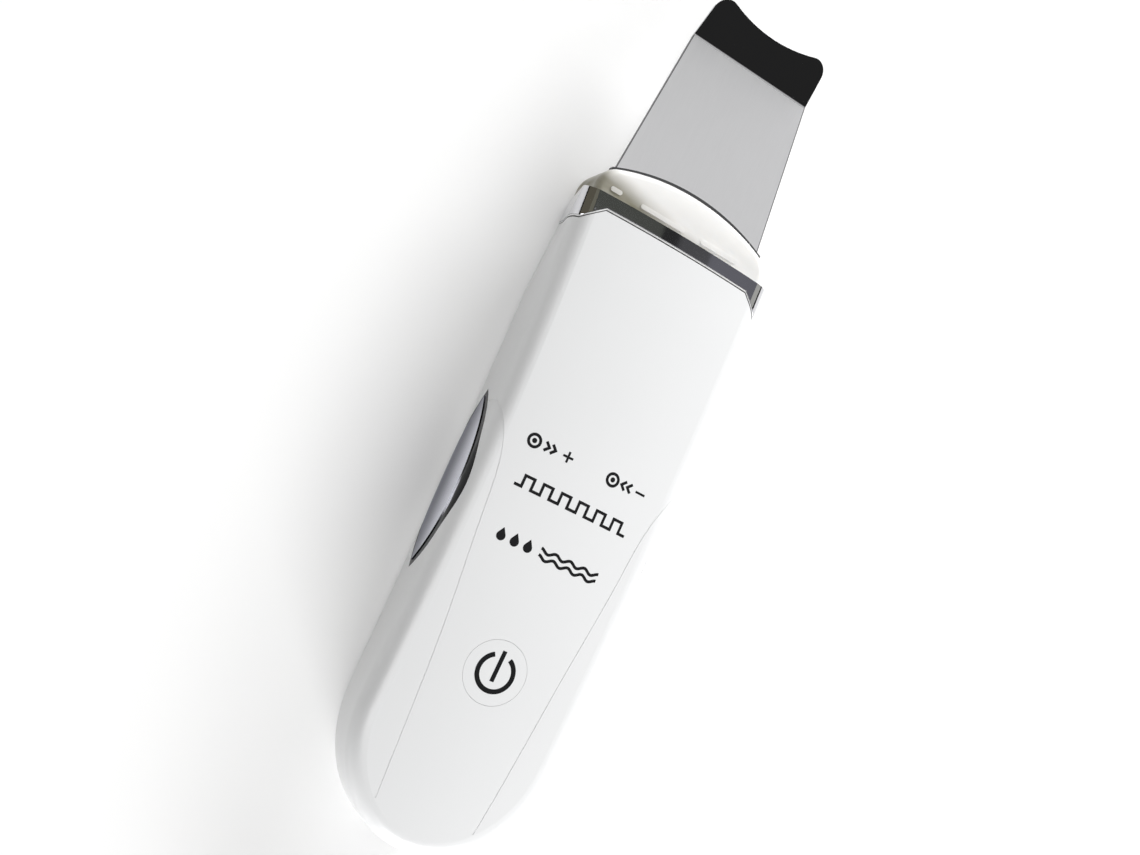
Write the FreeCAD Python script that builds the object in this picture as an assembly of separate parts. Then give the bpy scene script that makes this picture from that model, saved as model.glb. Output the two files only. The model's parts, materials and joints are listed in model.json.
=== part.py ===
import FreeCAD, Part
import math
import os

# Ultrasonic skin scrubber, millimetres.
# The device lies on its rear face. +X is its right side, +Y runs along its length from the
# rounded tail to the blade tip, and +Z comes out of the front face, where the button is.
# Lengthwise sizes are measured from a datum near mid-length. The finished pieces are moved
# so that the origin is in the rear face's plane, under the middle of the whole length.

V = FreeCAD.Vector

# --- driving dimensions -------------------------------------------------------------------

TAIL_Y = -90.8                 # end of the casing's rounded tail
TIP_Y = 94.39                  # foremost points of the blade's two tip corners
MIDDLE_Y = (TAIL_Y + TIP_Y) / 2

# casing, seen from the front
TAIL_HALF = 21.4               # half width where the tail's half ellipse starts
TAIL_CENTRE_Y = -66.0          # centre of the tail's half ellipse
HEAD_HALF = 23.2               # half width at the collar, after a slight outward flare
# casing, seen from the side and from the end
CROWN_Z = 21.4                 # highest point of the front face
CROWN_Y = -18.0                # where along the length that point lies
CROWN_R = 560.0                # lengthwise curve of the front face
CROSS_R = 160.0                # crosswise curve of the front face
FRONT_EDGE_R = 4.0
REAR_EDGE_R = 5.5
WALL = 2.0
INNER_EDGE_R = 0.6             # least radius along the edges of the inset forms
PARTING_Z = 4.8                # plane where the two casings meet
PARTING_GAP = 0.06
LIP = 1.0                      # height and thickness of the rear casing's locating lip
LIP_CLEARANCE = 0.08

# flat that slims the head's sides towards the rear, through three points
JAW_START_X = 22.7             # at the lower level, where it begins
JAW_START_Y = 12.0
JAW_END_LOW_X = 21.4           # at the collar
JAW_END_HIGH_X = 23.5
JAW_LOW_Z = 4.0
JAW_HIGH_Z = 15.0

# collar
COLLAR_MID_Y = 40.9            # lower edge of the collar across the front and the back
COLLAR_SIDE_Y = 37.2           # lower edge round the sides
COLLAR_MID_HALF = 17.8         # half length of the straight lower edge
COLLAR_CORNER_HALF = 22.2      # where the slanting corners reach the sides
COLLAR_TOP_Y = 44.2
COLLAR_PROUD = 0.2
COLLAR_WALL = 1.75             # measured inwards from the casing's own surface
COLLAR_GAP = 0.15
COLLAR_STEP = 0.5              # narrow ledge along the lower edge
COLLAR_STEP_PROUD = 0.05

# head cover
COVER_HALF = 21.4
COVER_INSET = 2.05
COVER_WALL = 1.2
COVER_BOTTOM_Y = 37.3
COVER_SHOULDER_R = 5.4
COVER_ARC_R = 47.1             # edge of the cover against the blade
COVER_TOP_Y = 54.5             # middle of that edge
COVER_ARC_Y = COVER_TOP_Y - COVER_ARC_R
COVER_BASE_Y = COLLAR_TOP_Y - 1.0
COVER_FAR_Y = COVER_TOP_Y + 1.5
COVER_FRONT_Z = 15.3           # front face at the collar, part way and beyond the arched edge
COVER_FRONT_MID = (49.5, 15.05)
COVER_FRONT_END_Z = 13.75
COVER_REAR_Z = 1.6             # rear face at the same three places
COVER_REAR_MID = (50.0, 3.2)
COVER_REAR_END_Z = 9.2
COVER_FRONT_R = 1.6
COVER_REAR_R = 2.6
RIB_SPANS = [(-18.3, -15.6), (-10.8, 0.3), (4.6, 14.0)]
RIB_Y = 46.2
RIB_WIDTH = 1.0
RIB_HEIGHT = 0.3
RIB_BASE_Z = 15.2
PASSAGE_SIDE = 3.0             # room beside the shank there
PASSAGE_GAP = 0.5              # room above and below the blade's shank inside the cover

# blade
BLADE_TOP_Z = 13.2
BLADE_T = 0.7
BLADE_BOTTOM_Z = BLADE_TOP_Z - BLADE_T
BEND_Y = 85.2
BEND_ANGLE = 25.0              # the tip is bent towards the front
BEND_R = 1.0
ROOT_HALF = 18.85
ROOT_Y = 48.0
BEND_HALF = 15.15
TIP_CORNER_R = 3.0
TIP_APEX_Y = 95.49             # where side and tip edge would meet without the corner radius
TIP_HOLLOW_Y = 92.7            # middle of the hollow tip edge
SHANK_HALF = 9.0
SHANK_END_Y = 11.5
SHANK_SHOULDER_Y = 43.0
SHOULDER_R = 1.2

# blade clamp and ultrasonic drive
PIVOT_Y = 33.0                 # the line that the blade flexes about
CLAMP_HALF = 13.5
CLAMP_LENGTH = 6.0
CLAMP_GAP = 0.05
CLAMP_SCREW_X = 11.2
CLAMP_T = 1.3
CLAMP_SIDE_GAP = 0.4
CLAMP_RECESS = 0.8             # sinks the screw heads into the plate
CLAMP_SCREW_LENGTH = 6.5
BRACKET_ARCH_HALF = 8.5
BRACKET_BRIDGE_T = 3.0
BRACKET_ARCH_R = 2.5
BRACKET_HOLE_DEPTH = 6.0
CLAMP_INSET = 0.5              # the plate is this much shorter than the bracket at each end
DISC_R = 8.5
DISC_T = 2.0
DISC_Y = 20.5
DISC_CHAMFER = 0.25
DISC_LEAD_R = 0.4

# seal where the blade leaves the cover
SEAL_HALF = 19.35
SEAL_DEPTH = 2.0
SEAL_BEAD = 0.4
SEAL_ABOVE = 0.55
SEAL_BELOW = 0.4
SEAL_GAP = 0.1
FIT_GAP = 0.05

# side electrodes: pointed lens outlines in the side walls
LENS_Y = -20.9
LENS_Z = 8.7
LENS_HALF = 19.6
LENS_UP = 10.0
LENS_DOWN = 6.0
BEZEL_UP = 2.6
BEZEL_DOWN = 1.6
BEZEL_END = 1.6
POCKET_DEPTH = 1.3
PLATE_PROUD = 0.2
STUD_R = 1.4
STUD_Z = 10.0
STUD_END_X = 18.8
STUD_LENGTH = 2.0
SPRING_T = 0.25
SPRING_HALF = 2.0
SPRING_FOOT_X = 12.4
SPRING_KNEE_X = 16.0

# hairline style grooves on the front face, right side: points from head to tail
GROOVE_POINTS = [(22.3, -3.6), (18.7, -10.0), (16.2, -25.0), (13.9, -46.0), (10.8, -82.7)]
GROOVE_WIDTH = 0.3
GROOVE_DEPTH = 0.1
GROOVE_BASE_Z = 12.8           # below the whole groove, above the widest part of the side walls

# power button and its switch
BUTTON_Y = -52.2
BUTTON_R = 6.55
BUTTON_GAP = 0.06
BUTTON_FLANGE_R = 7.6
BUTTON_FLANGE_TOP = 18.0
BUTTON_FLANGE_T = 0.7
STEM_R = 1.7
SWITCH_HALF = 3.0
SWITCH_TOP = 15.9
PLUNGER_TOP = 16.6
PLUNGER_R = 1.7
RING_R = 6.6                   # widest radius of the bellows under the cap
RING_END_R = 5.6
RING_WALL = 0.5

# main board
BOARD_HALF = 15.0
BOARD_TAIL_Y = -73.0
BOARD_HEAD_Y = 10.0
BOARD_Z = 12.0
BOARD_T = 1.2
BOARD_TOP = BOARD_Z + BOARD_T
BOARD_CORNER_R = 2.0
BOARD_BOSS_R = 2.2
BOARD_PILOT_DEPTH = 4.0
BOARD_SCREWS = [(-12.0, -68.0), (12.0, -68.0), (-12.5, 7.5), (12.5, 7.5)]
LED_SPOTS = [(-8.2, -9.2), (9.5, -8.6), (0.0, -17.3), (0.0, -29.0)]
LED_HALF_X = 1.5
LED_HALF_Y = 0.8
LED_HEIGHT = 0.9
GUIDE_R = 1.8                  # clear posts over the lamps, joined by a web
GUIDE_WEB_HALF = 0.8
GUIDE_WEB_LIFT = 2.2           # above the board

# parts soldered on the main board
CHIP_Y = -40.0
CHIP_HALF_X = 3.0
CHIP_HALF_Y = 3.6
CHIP_HEIGHT = 1.2
CHIP_LEGS = 6                  # on each side
CAPACITORS = [(9.5, -38.5), (9.5, -45.0), (9.5, -0.5)]
CAPACITOR_R = 2.1
CAPACITOR_HEIGHT = 3.9
CORE_X = -5.5                  # step-up transformer
CORE_Y = -0.8
CORE_HALF_X = 5.2
CORE_HALF_Y = 4.6
CORE_HEIGHT = 4.0
CORE_LEG = 0.8
CORE_POST_HALF = 1.0
COIL_EDGE_R = 0.9
CORE_POST_Z0 = BOARD_TOP + 1.0
CORE_POST_Z1 = BOARD_TOP + 3.0

# battery
CELL_HALF = 14.0
CELL_Y0 = -62.0
CELL_Y1 = -14.0
CELL_Z0 = 2.6
CELL_T = 7.2
CELL_EDGE_R = 2.2
PAD_HALF = 11.0
PAD_INSET = 4.0
PLUG_XS = (7.5, 10.5)          # poles of the battery plug
PLUG_Y0 = -8.5
PLUG_Y1 = -3.5
BATTERY_LEAD_R = 0.55
CHARGE_LEAD_R = 0.45

# casing screws, driven from the rear
CASE_SCREWS = [(-8.5, -76.0), (8.5, -76.0), (-14.0, 24.5), (14.0, 24.5)]
BOSS_R = 2.6
PILOT_DEPTH = 8.0
CASE_SCREW_LENGTH = 9.0
SCREW_R = 0.95
SCREW_HOLE_GAP = 0.15
SCREW_HEAD_R = 2.0
SCREW_HEAD_T = 1.2
PLUG_T = 0.7
PLUG_RECESS = 0.08

# charging socket in the tail
SOCKET_HALF = 3.75
SOCKET_H = 2.5
SOCKET_Z0 = 2.4
SOCKET_Y0 = TAIL_Y + 1.0
SOCKET_Y1 = SOCKET_Y0 + 5.3
SOCKET_SKIN = 0.3
PORT_MARGIN = 0.4
PORT_CORNER_R = 1.2
CHARGE_HALF = 6.0              # board above the socket
CHARGE_Y0 = SOCKET_Y0 + 3.5
CHARGE_Y1 = SOCKET_Y0 + 11.0
CHARGE_T = 0.8
CHARGE_POST_X = 5.2

# lamps behind the frosted cover, on a board against the bracket
GLOW_XS = (-7.5, 0.0, 7.5)
GLOW_HALF = 11.5
GLOW_Z0 = 9.6
GLOW_Z1 = 12.2
GLOW_T = 0.8

FAR = 60.0                     # beyond the model in every direction that needs a cutter


# --- small helpers ------------------------------------------------------------------------

def box(x0, x1, y0, y1, z0, z1):
    """Block between two corners."""
    return Part.makeBox(x1 - x0, y1 - y0, z1 - z0, V(x0, y0, z0))


def post(x, y, z0, z1, radius):
    """Upright cylinder."""
    return Part.makeCylinder(radius, z1 - z0, V(x, y, z0))


def prism(edges, z0, z1):
    """Solid standing on a closed outline drawn at z = 0."""
    face = Part.Face(Part.Wire(Part.__sortEdges__(edges)))
    face.translate(V(0, 0, z0))
    return face.extrude(V(0, 0, z1 - z0))


def polygon(points):
    """Edges of a closed outline through the points."""
    corners = [V(*p) for p in points]
    return [Part.makeLine(a, b) for a, b in zip(corners, corners[1:] + corners[:1])]


def arc(a, b, c):
    """Arc edge through three points."""
    return Part.Arc(V(*a), V(*b), V(*c)).toShape()


def mirrored(shape):
    """The same shape on the other side of the device."""
    return shape.mirror(V(0, 0, 0), V(1, 0, 0))


def fuse_all(shapes):
    """One solid from pieces that touch."""
    return shapes[0].multiFuse(shapes[1:]).removeSplitter()


def group(shapes):
    """Separate solids that share a node."""
    return Part.makeCompound(shapes)


def lead(points, radius):
    """Insulated wire: straight runs joined by tangent arcs."""
    corners = [V(*p) for p in points]
    edges = []
    start = corners[0]
    for before, corner, after in zip(corners, corners[1:], corners[2:]):
        back = (before - corner).normalize()
        ahead = (after - corner).normalize()
        reach = 0.45 * min((before - corner).Length, (after - corner).Length)
        enter = corner + back * reach
        leave = corner + ahead * reach
        half_turn = back.getAngle(ahead) / 2
        bisector = (back + ahead).normalize()
        bend_r = reach * math.tan(half_turn)
        middle = corner + bisector * (bend_r / math.sin(half_turn) - bend_r)
        edges.append(Part.makeLine(start, enter))
        edges.append(Part.Arc(enter, middle, leave).toShape())
        start = leave
    edges.append(Part.makeLine(start, corners[-1]))
    path = Part.Wire(edges)
    section = Part.Wire(Part.makeCircle(radius, corners[0], corners[1] - corners[0]))
    return path.makePipeShell([section], True, False)


# --- outer form ---------------------------------------------------------------------------

def side_half(y):
    """Half width of the casing at y, ahead of the tail's ellipse."""
    rise = HEAD_HALF - TAIL_HALF
    run = COLLAR_MID_Y - TAIL_CENTRE_Y
    radius = (run ** 2 + rise ** 2) / (2 * rise)
    return TAIL_HALF + radius - math.sqrt(radius ** 2 - (y - TAIL_CENTRE_Y) ** 2)


def plan_edges(inset, head_y):
    """Outline of the casing seen from the front, moved inwards by inset."""
    half = TAIL_HALF - inset
    depth = TAIL_CENTRE_Y - TAIL_Y - inset
    ellipse = Part.Ellipse(V(0, TAIL_CENTRE_Y - depth, 0), V(half, TAIL_CENTRE_Y, 0),
                           V(0, TAIL_CENTRE_Y, 0))
    tail = Part.ArcOfEllipse(ellipse, -math.pi / 2, math.pi / 2).toShape()
    mid_y = (TAIL_CENTRE_Y + head_y) / 2
    head_half = side_half(head_y) - inset
    mid_half = side_half(mid_y) - inset
    right = arc((half, TAIL_CENTRE_Y, 0), (mid_half, mid_y, 0), (head_half, head_y, 0))
    left = arc((-half, TAIL_CENTRE_Y, 0), (-mid_half, mid_y, 0), (-head_half, head_y, 0))
    end = Part.makeLine(V(head_half, head_y, 0), V(-head_half, head_y, 0))
    return [tail, right, end, left]


def barrel(inset):
    """Solid whose skin is the doubly curved front face, moved inwards by inset."""
    axis_z = CROWN_Z - CROSS_R
    radius = CROWN_R - inset
    centre_z = CROWN_Z - CROWN_R

    def on_arc(y):
        return V(0, y, centre_z + math.sqrt(radius ** 2 - (y - CROWN_Y) ** 2))

    y0 = TAIL_Y - FAR / 2
    y1 = TIP_Y
    rim = Part.Arc(on_arc(y0), on_arc(CROWN_Y), on_arc(y1)).toShape()
    sides = [Part.makeLine(V(0, y0, axis_z), on_arc(y0)),
             Part.makeLine(on_arc(y1), V(0, y1, axis_z)),
             Part.makeLine(V(0, y1, axis_z), V(0, y0, axis_z))]
    face = Part.Face(Part.Wire(Part.__sortEdges__([rim] + sides)))
    return face.revolve(V(0, 0, axis_z), V(0, 1, 0), 360)


def jaw_cutter(inset):
    """Block outside the plane that slims the right side of the head towards the rear."""
    along = V(JAW_START_X - JAW_END_LOW_X, JAW_START_Y - COLLAR_MID_Y, 0)
    up = V(JAW_END_HIGH_X - JAW_END_LOW_X, 0, JAW_HIGH_Z - JAW_LOW_Z)
    outward = up.cross(along).normalize()
    base = V(JAW_END_LOW_X, COLLAR_MID_Y, JAW_LOW_Z) - outward * inset
    corners = [base - along - up, base + along * 2 - up, base + along * 2 + up * 3,
               base - along + up * 3]
    face = Part.Face(Part.Wire(polygon(corners)))
    return face.extrude(V(FAR, 0, 0))


def form(inset, head_y=50.0):
    """The body's full rounded volume, moved inwards by inset, open-ended at head_y."""
    solid = prism(plan_edges(inset, head_y), inset, FAR).common(barrel(inset))
    front_edges = []
    rear_edges = []
    for edge in solid.Edges:
        limits = edge.BoundBox
        if limits.YMin > head_y - 0.01 or limits.ZLength > 10:
            continue
        if limits.ZMax < inset + 0.01:
            rear_edges.append(edge)
        else:
            front_edges.append(edge)
    solid = solid.makeFillet(max(FRONT_EDGE_R - inset, INNER_EDGE_R), front_edges)
    rear_edges = [e for e in solid.Edges
                  if e.BoundBox.ZMax < inset + 0.01 and e.BoundBox.YMin < head_y - 0.01]
    solid = solid.makeFillet(max(REAR_EDGE_R - inset, INNER_EDGE_R), rear_edges)
    flat = jaw_cutter(inset)
    return solid.cut(flat).cut(mirrored(flat))


FORM = {}


def cached_form(inset):
    """The same volume is used by many pieces, so each inset is made once."""
    if inset not in FORM:
        FORM[inset] = form(inset)
    return FORM[inset].copy()


def skin(outer_inset, inner_inset):
    """Layer of the body between two insets."""
    return cached_form(outer_inset).cut(cached_form(inner_inset))


def mouth(shift, upper):
    """Everything above or below the collar's lower edge, moved up by shift."""
    edge = [(-FAR, COLLAR_SIDE_Y + shift, 0), (-COLLAR_CORNER_HALF, COLLAR_SIDE_Y + shift, 0),
            (-COLLAR_MID_HALF, COLLAR_MID_Y + shift, 0), (COLLAR_MID_HALF, COLLAR_MID_Y + shift, 0),
            (COLLAR_CORNER_HALF, COLLAR_SIDE_Y + shift, 0), (FAR, COLLAR_SIDE_Y + shift, 0)]
    far_y = FAR if upper else TAIL_Y - FAR
    outline = edge + [(FAR, far_y, 0), (-FAR, far_y, 0)]
    return prism(polygon(outline), -FAR, FAR)


# --- side electrodes ----------------------------------------------------------------------

def lens(half, up, down, grow=0.0):
    """Pointed lens across the whole width of the device, drawn in the side view."""
    tail = V(0, LENS_Y - half - grow, LENS_Z)
    head = V(0, LENS_Y + half + grow, LENS_Z)
    top = Part.Arc(tail, V(0, LENS_Y, LENS_Z + up + grow), head).toShape()
    bottom = Part.Arc(head, V(0, LENS_Y, LENS_Z - down - grow), tail).toShape()
    face = Part.Face(Part.Wire([top, bottom]))
    return face.extrude(V(FAR, 0, 0))


def electrode_pocket():
    """Recess for both electrodes, cut into the casings' side walls."""
    layer = cached_form(-1.0).cut(cached_form(POCKET_DEPTH))
    right = layer.common(lens(LENS_HALF, LENS_UP, LENS_DOWN))
    hole = Part.makeCylinder(STUD_R + FIT_GAP, FAR, V(0, LENS_Y, STUD_Z), V(1, 0, 0))
    hole = hole.cut(cached_form(WALL + 1.0))
    right = fuse_all([right, hole])
    return group([right, mirrored(right)])


def electrode_bezel():
    """Dark bevelled frame round the right electrode plate."""
    layer = skin(0.0, POCKET_DEPTH - FIT_GAP)
    outer = lens(LENS_HALF, LENS_UP, LENS_DOWN, -0.08)
    inner = lens(LENS_HALF - BEZEL_END, LENS_UP - BEZEL_UP, LENS_DOWN - BEZEL_DOWN)
    return layer.common(outer).cut(inner)


def electrode_plate():
    """Right electrode: a slightly proud plated lens with a contact stud behind it."""
    layer = skin(-PLATE_PROUD, POCKET_DEPTH - FIT_GAP)
    inner = lens(LENS_HALF - BEZEL_END, LENS_UP - BEZEL_UP, LENS_DOWN - BEZEL_DOWN, -FIT_GAP)
    plate = layer.common(inner)
    stud = Part.makeCylinder(STUD_R, STUD_LENGTH, V(STUD_END_X, LENS_Y, STUD_Z), V(1, 0, 0))
    return fuse_all([plate, stud])


def contact_spring():
    """Leaf that joins the right electrode's stud to the main board."""
    stud_x = STUD_END_X - FIT_GAP
    low_z = STUD_Z - STUD_R
    high_z = STUD_Z + STUD_R + 0.2
    z0 = BOARD_TOP + 0.02
    outline = [(SPRING_FOOT_X, 0, z0), (SPRING_KNEE_X, 0, z0), (stud_x - SPRING_T, 0, high_z),
               (stud_x - SPRING_T, 0, low_z), (stud_x, 0, low_z), (stud_x, 0, high_z + 0.2),
               (SPRING_KNEE_X + 0.2, 0, z0 + SPRING_T), (SPRING_FOOT_X, 0, z0 + SPRING_T)]
    face = Part.Face(Part.Wire(polygon(outline)))
    face.translate(V(0, LENS_Y - SPRING_HALF, 0))
    return face.extrude(V(0, 2 * SPRING_HALF, 0))


# --- casings and collar -------------------------------------------------------------------

def groove_cutter():
    """Thin curved ribbon on both sides, only as deep as the groove."""
    spline = Part.BSplineCurve()
    spline.interpolate([V(x, y, 0) for x, y in GROOVE_POINTS])
    centre = spline.toShape()
    steps = 24
    first, last = centre.ParameterRange

    def offset_side(side):
        points = []
        for step in range(steps + 1):
            u = first + (last - first) * step / steps
            along = centre.tangentAt(u)
            across = V(-along.y, along.x, 0) * side
            points.append(centre.valueAt(u) + across)
        curve = Part.BSplineCurve()
        curve.interpolate(points)
        return curve.toShape(), points

    half = GROOVE_WIDTH / 2
    inner, inner_points = offset_side(half)
    outer, outer_points = offset_side(-half)
    caps = [Part.makeLine(inner_points[0], outer_points[0]),
            Part.makeLine(inner_points[-1], outer_points[-1])]
    ribbon = prism([inner, outer] + caps, GROOVE_BASE_Z, FAR)
    ribbon = ribbon.cut(cached_form(GROOVE_DEPTH))
    return group([ribbon, mirrored(ribbon)])


def screw_boss(x, y, z0, radius, hole_r):
    """Screw boss hanging from the front casing's inner face."""
    boss = post(x, y, z0, FAR / 2, radius).common(cached_form(WALL / 2))
    return boss, post(x, y, z0 - 0.1, z0 + PILOT_DEPTH, hole_r)


def port_cutter():
    """Rounded slot for the charging plug in the tail."""
    half = SOCKET_HALF + PORT_MARGIN
    z0 = SOCKET_Z0 - PORT_MARGIN
    z1 = SOCKET_Z0 + SOCKET_H + PORT_MARGIN
    block = box(-half, half, TAIL_Y - 1.0, SOCKET_Y1, z0, z1)
    corners = [e for e in block.Edges if e.BoundBox.YLength > 1.0]
    return block.makeFillet(PORT_CORNER_R, corners)


def front_casing():
    """Upper shell with the front face, the button hole and the screw bosses."""
    shell = skin(0.0, WALL).common(mouth(-COLLAR_GAP, False))
    shell = shell.common(box(-FAR, FAR, -2 * FAR, FAR, PARTING_Z + PARTING_GAP, FAR))
    rebate = cached_form(LIP - LIP_CLEARANCE)
    rebate = rebate.common(box(-FAR, FAR, -2 * FAR, FAR, 0, PARTING_Z + LIP + LIP_CLEARANCE))
    shell = shell.cut(rebate)
    bosses = []
    holes = []
    for x, y in CASE_SCREWS:
        boss, hole = screw_boss(x, y, PARTING_Z + 0.2, BOSS_R, SCREW_R + FIT_GAP)
        bosses.append(boss)
        holes.append(hole)
    for x, y in BOARD_SCREWS:
        boss, hole = screw_boss(x, y, BOARD_TOP + FIT_GAP, BOARD_BOSS_R, SCREW_R + FIT_GAP)
        bosses.append(boss)
        holes.append(hole.common(box(-FAR, FAR, -2 * FAR, FAR, 0, BOARD_TOP + BOARD_PILOT_DEPTH)))
    shell = fuse_all([shell] + bosses)
    shell = shell.cut(group(holes))
    shell = shell.cut(post(0, BUTTON_Y, BOARD_TOP, FAR, BUTTON_R + BUTTON_GAP))
    shell = shell.cut(post(0, BUTTON_Y, BOARD_TOP, BUTTON_FLANGE_TOP + FIT_GAP,
                           BUTTON_FLANGE_R + 0.2))
    shell = shell.cut(electrode_pocket())
    shell = shell.cut(port_cutter())
    return shell.cut(groove_cutter())


def rear_casing():
    """Shallow rear shell with the locating lip, screw seats and board posts."""
    shell = skin(0.0, WALL).common(mouth(-COLLAR_GAP, False))
    shell = shell.common(box(-FAR, FAR, -2 * FAR, FAR, -1, PARTING_Z))
    lip = skin(LIP, WALL).common(mouth(-COLLAR_GAP, False))
    lip = lip.common(box(-FAR, FAR, -2 * FAR, FAR, PARTING_Z - 1.0, PARTING_Z + LIP))
    posts = [post(x, y, WALL / 2, PARTING_Z + 0.1, BOSS_R) for x, y in CASE_SCREWS]
    posts += [post(x, CHARGE_Y1 - 2.9, WALL / 2, SOCKET_Z0 + SOCKET_H, 1.0)
              for x in (-CHARGE_POST_X, CHARGE_POST_X)]
    shell = fuse_all([shell, lip] + posts)
    for x, y in CASE_SCREWS:
        shell = shell.cut(post(x, y, -1, FAR / 2, SCREW_R + SCREW_HOLE_GAP))
        shell = shell.cut(post(x, y, -1, PLUG_T + SCREW_HEAD_T, SCREW_HEAD_R + SCREW_HOLE_GAP))
    shell = shell.cut(electrode_pocket())
    return shell.cut(port_cutter())


def chrome_collar():
    """Plated band between the casings and the head cover, stepped along its lower edge."""
    band = skin(-COLLAR_PROUD, COLLAR_WALL).common(mouth(COLLAR_STEP, True))
    step = skin(-COLLAR_STEP_PROUD, COLLAR_WALL).common(mouth(0.0, True))
    band = fuse_all([band, step])
    return band.common(box(-FAR, FAR, -FAR, COLLAR_TOP_Y, 0, FAR))


# --- head cover, blade and seal -----------------------------------------------------------

def cover_plan(inset):
    """Outline of the cover's visible part: straight sides, round shoulders, arched end."""
    half = COVER_HALF - inset
    arc_r = COVER_ARC_R - inset
    shoulder_r = COVER_SHOULDER_R - inset
    # the shoulder's centre is shoulder_r inside both the side line and the arched end
    centre_x = half - shoulder_r
    centre_y = COVER_ARC_Y + math.sqrt((arc_r - shoulder_r) ** 2 - centre_x ** 2)
    scale = arc_r / (arc_r - shoulder_r)
    join_x = centre_x * scale
    join_y = COVER_ARC_Y + (centre_y - COVER_ARC_Y) * scale
    turn = math.atan2(join_y - centre_y, join_x - centre_x) / 2
    mid_x = centre_x + shoulder_r * math.cos(turn)
    mid_y = centre_y + shoulder_r * math.sin(turn)
    edges = [Part.makeLine(V(-half, COVER_BASE_Y, 0), V(half, COVER_BASE_Y, 0)),
             arc((-join_x, join_y, 0), (0, COVER_ARC_Y + arc_r, 0), (join_x, join_y, 0))]
    for side in (-1, 1):
        edges.append(Part.makeLine(V(side * half, COVER_BASE_Y, 0), V(side * half, centre_y, 0)))
        edges.append(arc((side * half, centre_y, 0), (side * mid_x, mid_y, 0),
                         (side * join_x, join_y, 0)))
    return edges


def cover_dome(inset):
    """Visible part of the cover, sloping towards the blade in front and behind."""
    front_mid_y, front_mid_z = COVER_FRONT_MID
    rear_mid_y, rear_mid_z = COVER_REAR_MID
    base_front = (0, COVER_BASE_Y, COVER_FRONT_Z - inset)
    base_rear = (0, COVER_BASE_Y, COVER_REAR_Z + inset)
    far_front = (0, COVER_FAR_Y, COVER_FRONT_END_Z - inset)
    far_rear = (0, COVER_FAR_Y, COVER_REAR_END_Z + inset)
    edges = [arc(base_front, (0, front_mid_y, front_mid_z - inset), far_front),
             arc(base_rear, (0, rear_mid_y, rear_mid_z + inset), far_rear),
             Part.makeLine(V(*base_front), V(*base_rear)),
             Part.makeLine(V(*far_front), V(*far_rear))]
    face = Part.Face(Part.Wire(Part.__sortEdges__(edges)))
    face.translate(V(-FAR / 2, 0, 0))
    slab = face.extrude(V(FAR, 0, 0))
    solid = slab.common(prism(cover_plan(inset), 0, FAR))
    front_edges = [e for e in solid.Edges
                   if e.BoundBox.ZMin > COVER_FRONT_END_Z - 2.5 - inset
                   and e.BoundBox.YMax > COVER_BASE_Y + 0.1 and e.BoundBox.ZLength < 3]
    solid = solid.makeFillet(COVER_FRONT_R - inset / 2, front_edges)
    rear_edges = [e for e in solid.Edges
                  if e.BoundBox.ZMax < COVER_REAR_END_Z + 0.3 + inset
                  and e.BoundBox.YMax > COVER_BASE_Y + 0.1]
    return solid.makeFillet(COVER_REAR_R - inset, rear_edges)


def seal_slot(gap):
    """Space of the blade seal inside and outside the cover's end wall."""
    inner_r = COVER_ARC_R - SEAL_DEPTH - gap
    outer_r = COVER_ARC_R + SEAL_BEAD + gap
    z0 = BLADE_BOTTOM_Z - SEAL_BELOW - gap
    z1 = BLADE_TOP_Z + SEAL_ABOVE + gap
    ring = post(0, COVER_ARC_Y, z0, z1, outer_r).cut(post(0, COVER_ARC_Y, z0, z1, inner_r))
    half = SEAL_HALF + gap
    return ring.common(box(-half, half, COLLAR_TOP_Y, FAR, z0, z1))


def head_cover():
    """Frosted hollow nose with a slot for the blade and three raised ribs by the collar."""
    skirt = cached_form(COVER_INSET).cut(cached_form(COVER_INSET + COVER_WALL))
    skirt = skirt.common(box(-FAR, FAR, COVER_BOTTOM_Y, COLLAR_TOP_Y + 0.1, 0, FAR))
    dome = cover_dome(0.0).common(box(-FAR, FAR, COLLAR_TOP_Y + 0.1, FAR, 0, FAR))
    hollow = cover_dome(COVER_WALL)
    ribs = []
    half = RIB_WIDTH / 2
    for x0, x1 in RIB_SPANS:
        rib = box(x0, x1, RIB_Y - half, RIB_Y + half, RIB_BASE_Z - 1.0, RIB_BASE_Z + RIB_HEIGHT)
        upright = [e for e in rib.Edges if e.BoundBox.ZLength > 1]
        ribs.append(rib.makeFillet(half * 0.96, upright))
    cover = fuse_all([dome] + ribs).cut(hollow)
    cover = fuse_all([cover, skirt])
    passage_half = SHANK_HALF + PASSAGE_SIDE
    passage = box(-passage_half, passage_half, COVER_BOTTOM_Y - 1.0, COLLAR_TOP_Y + 0.2,
                  BLADE_BOTTOM_Z - PASSAGE_GAP, BLADE_TOP_Z + PASSAGE_GAP)
    return cover.cut(passage).cut(seal_slot(0.02))


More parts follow.
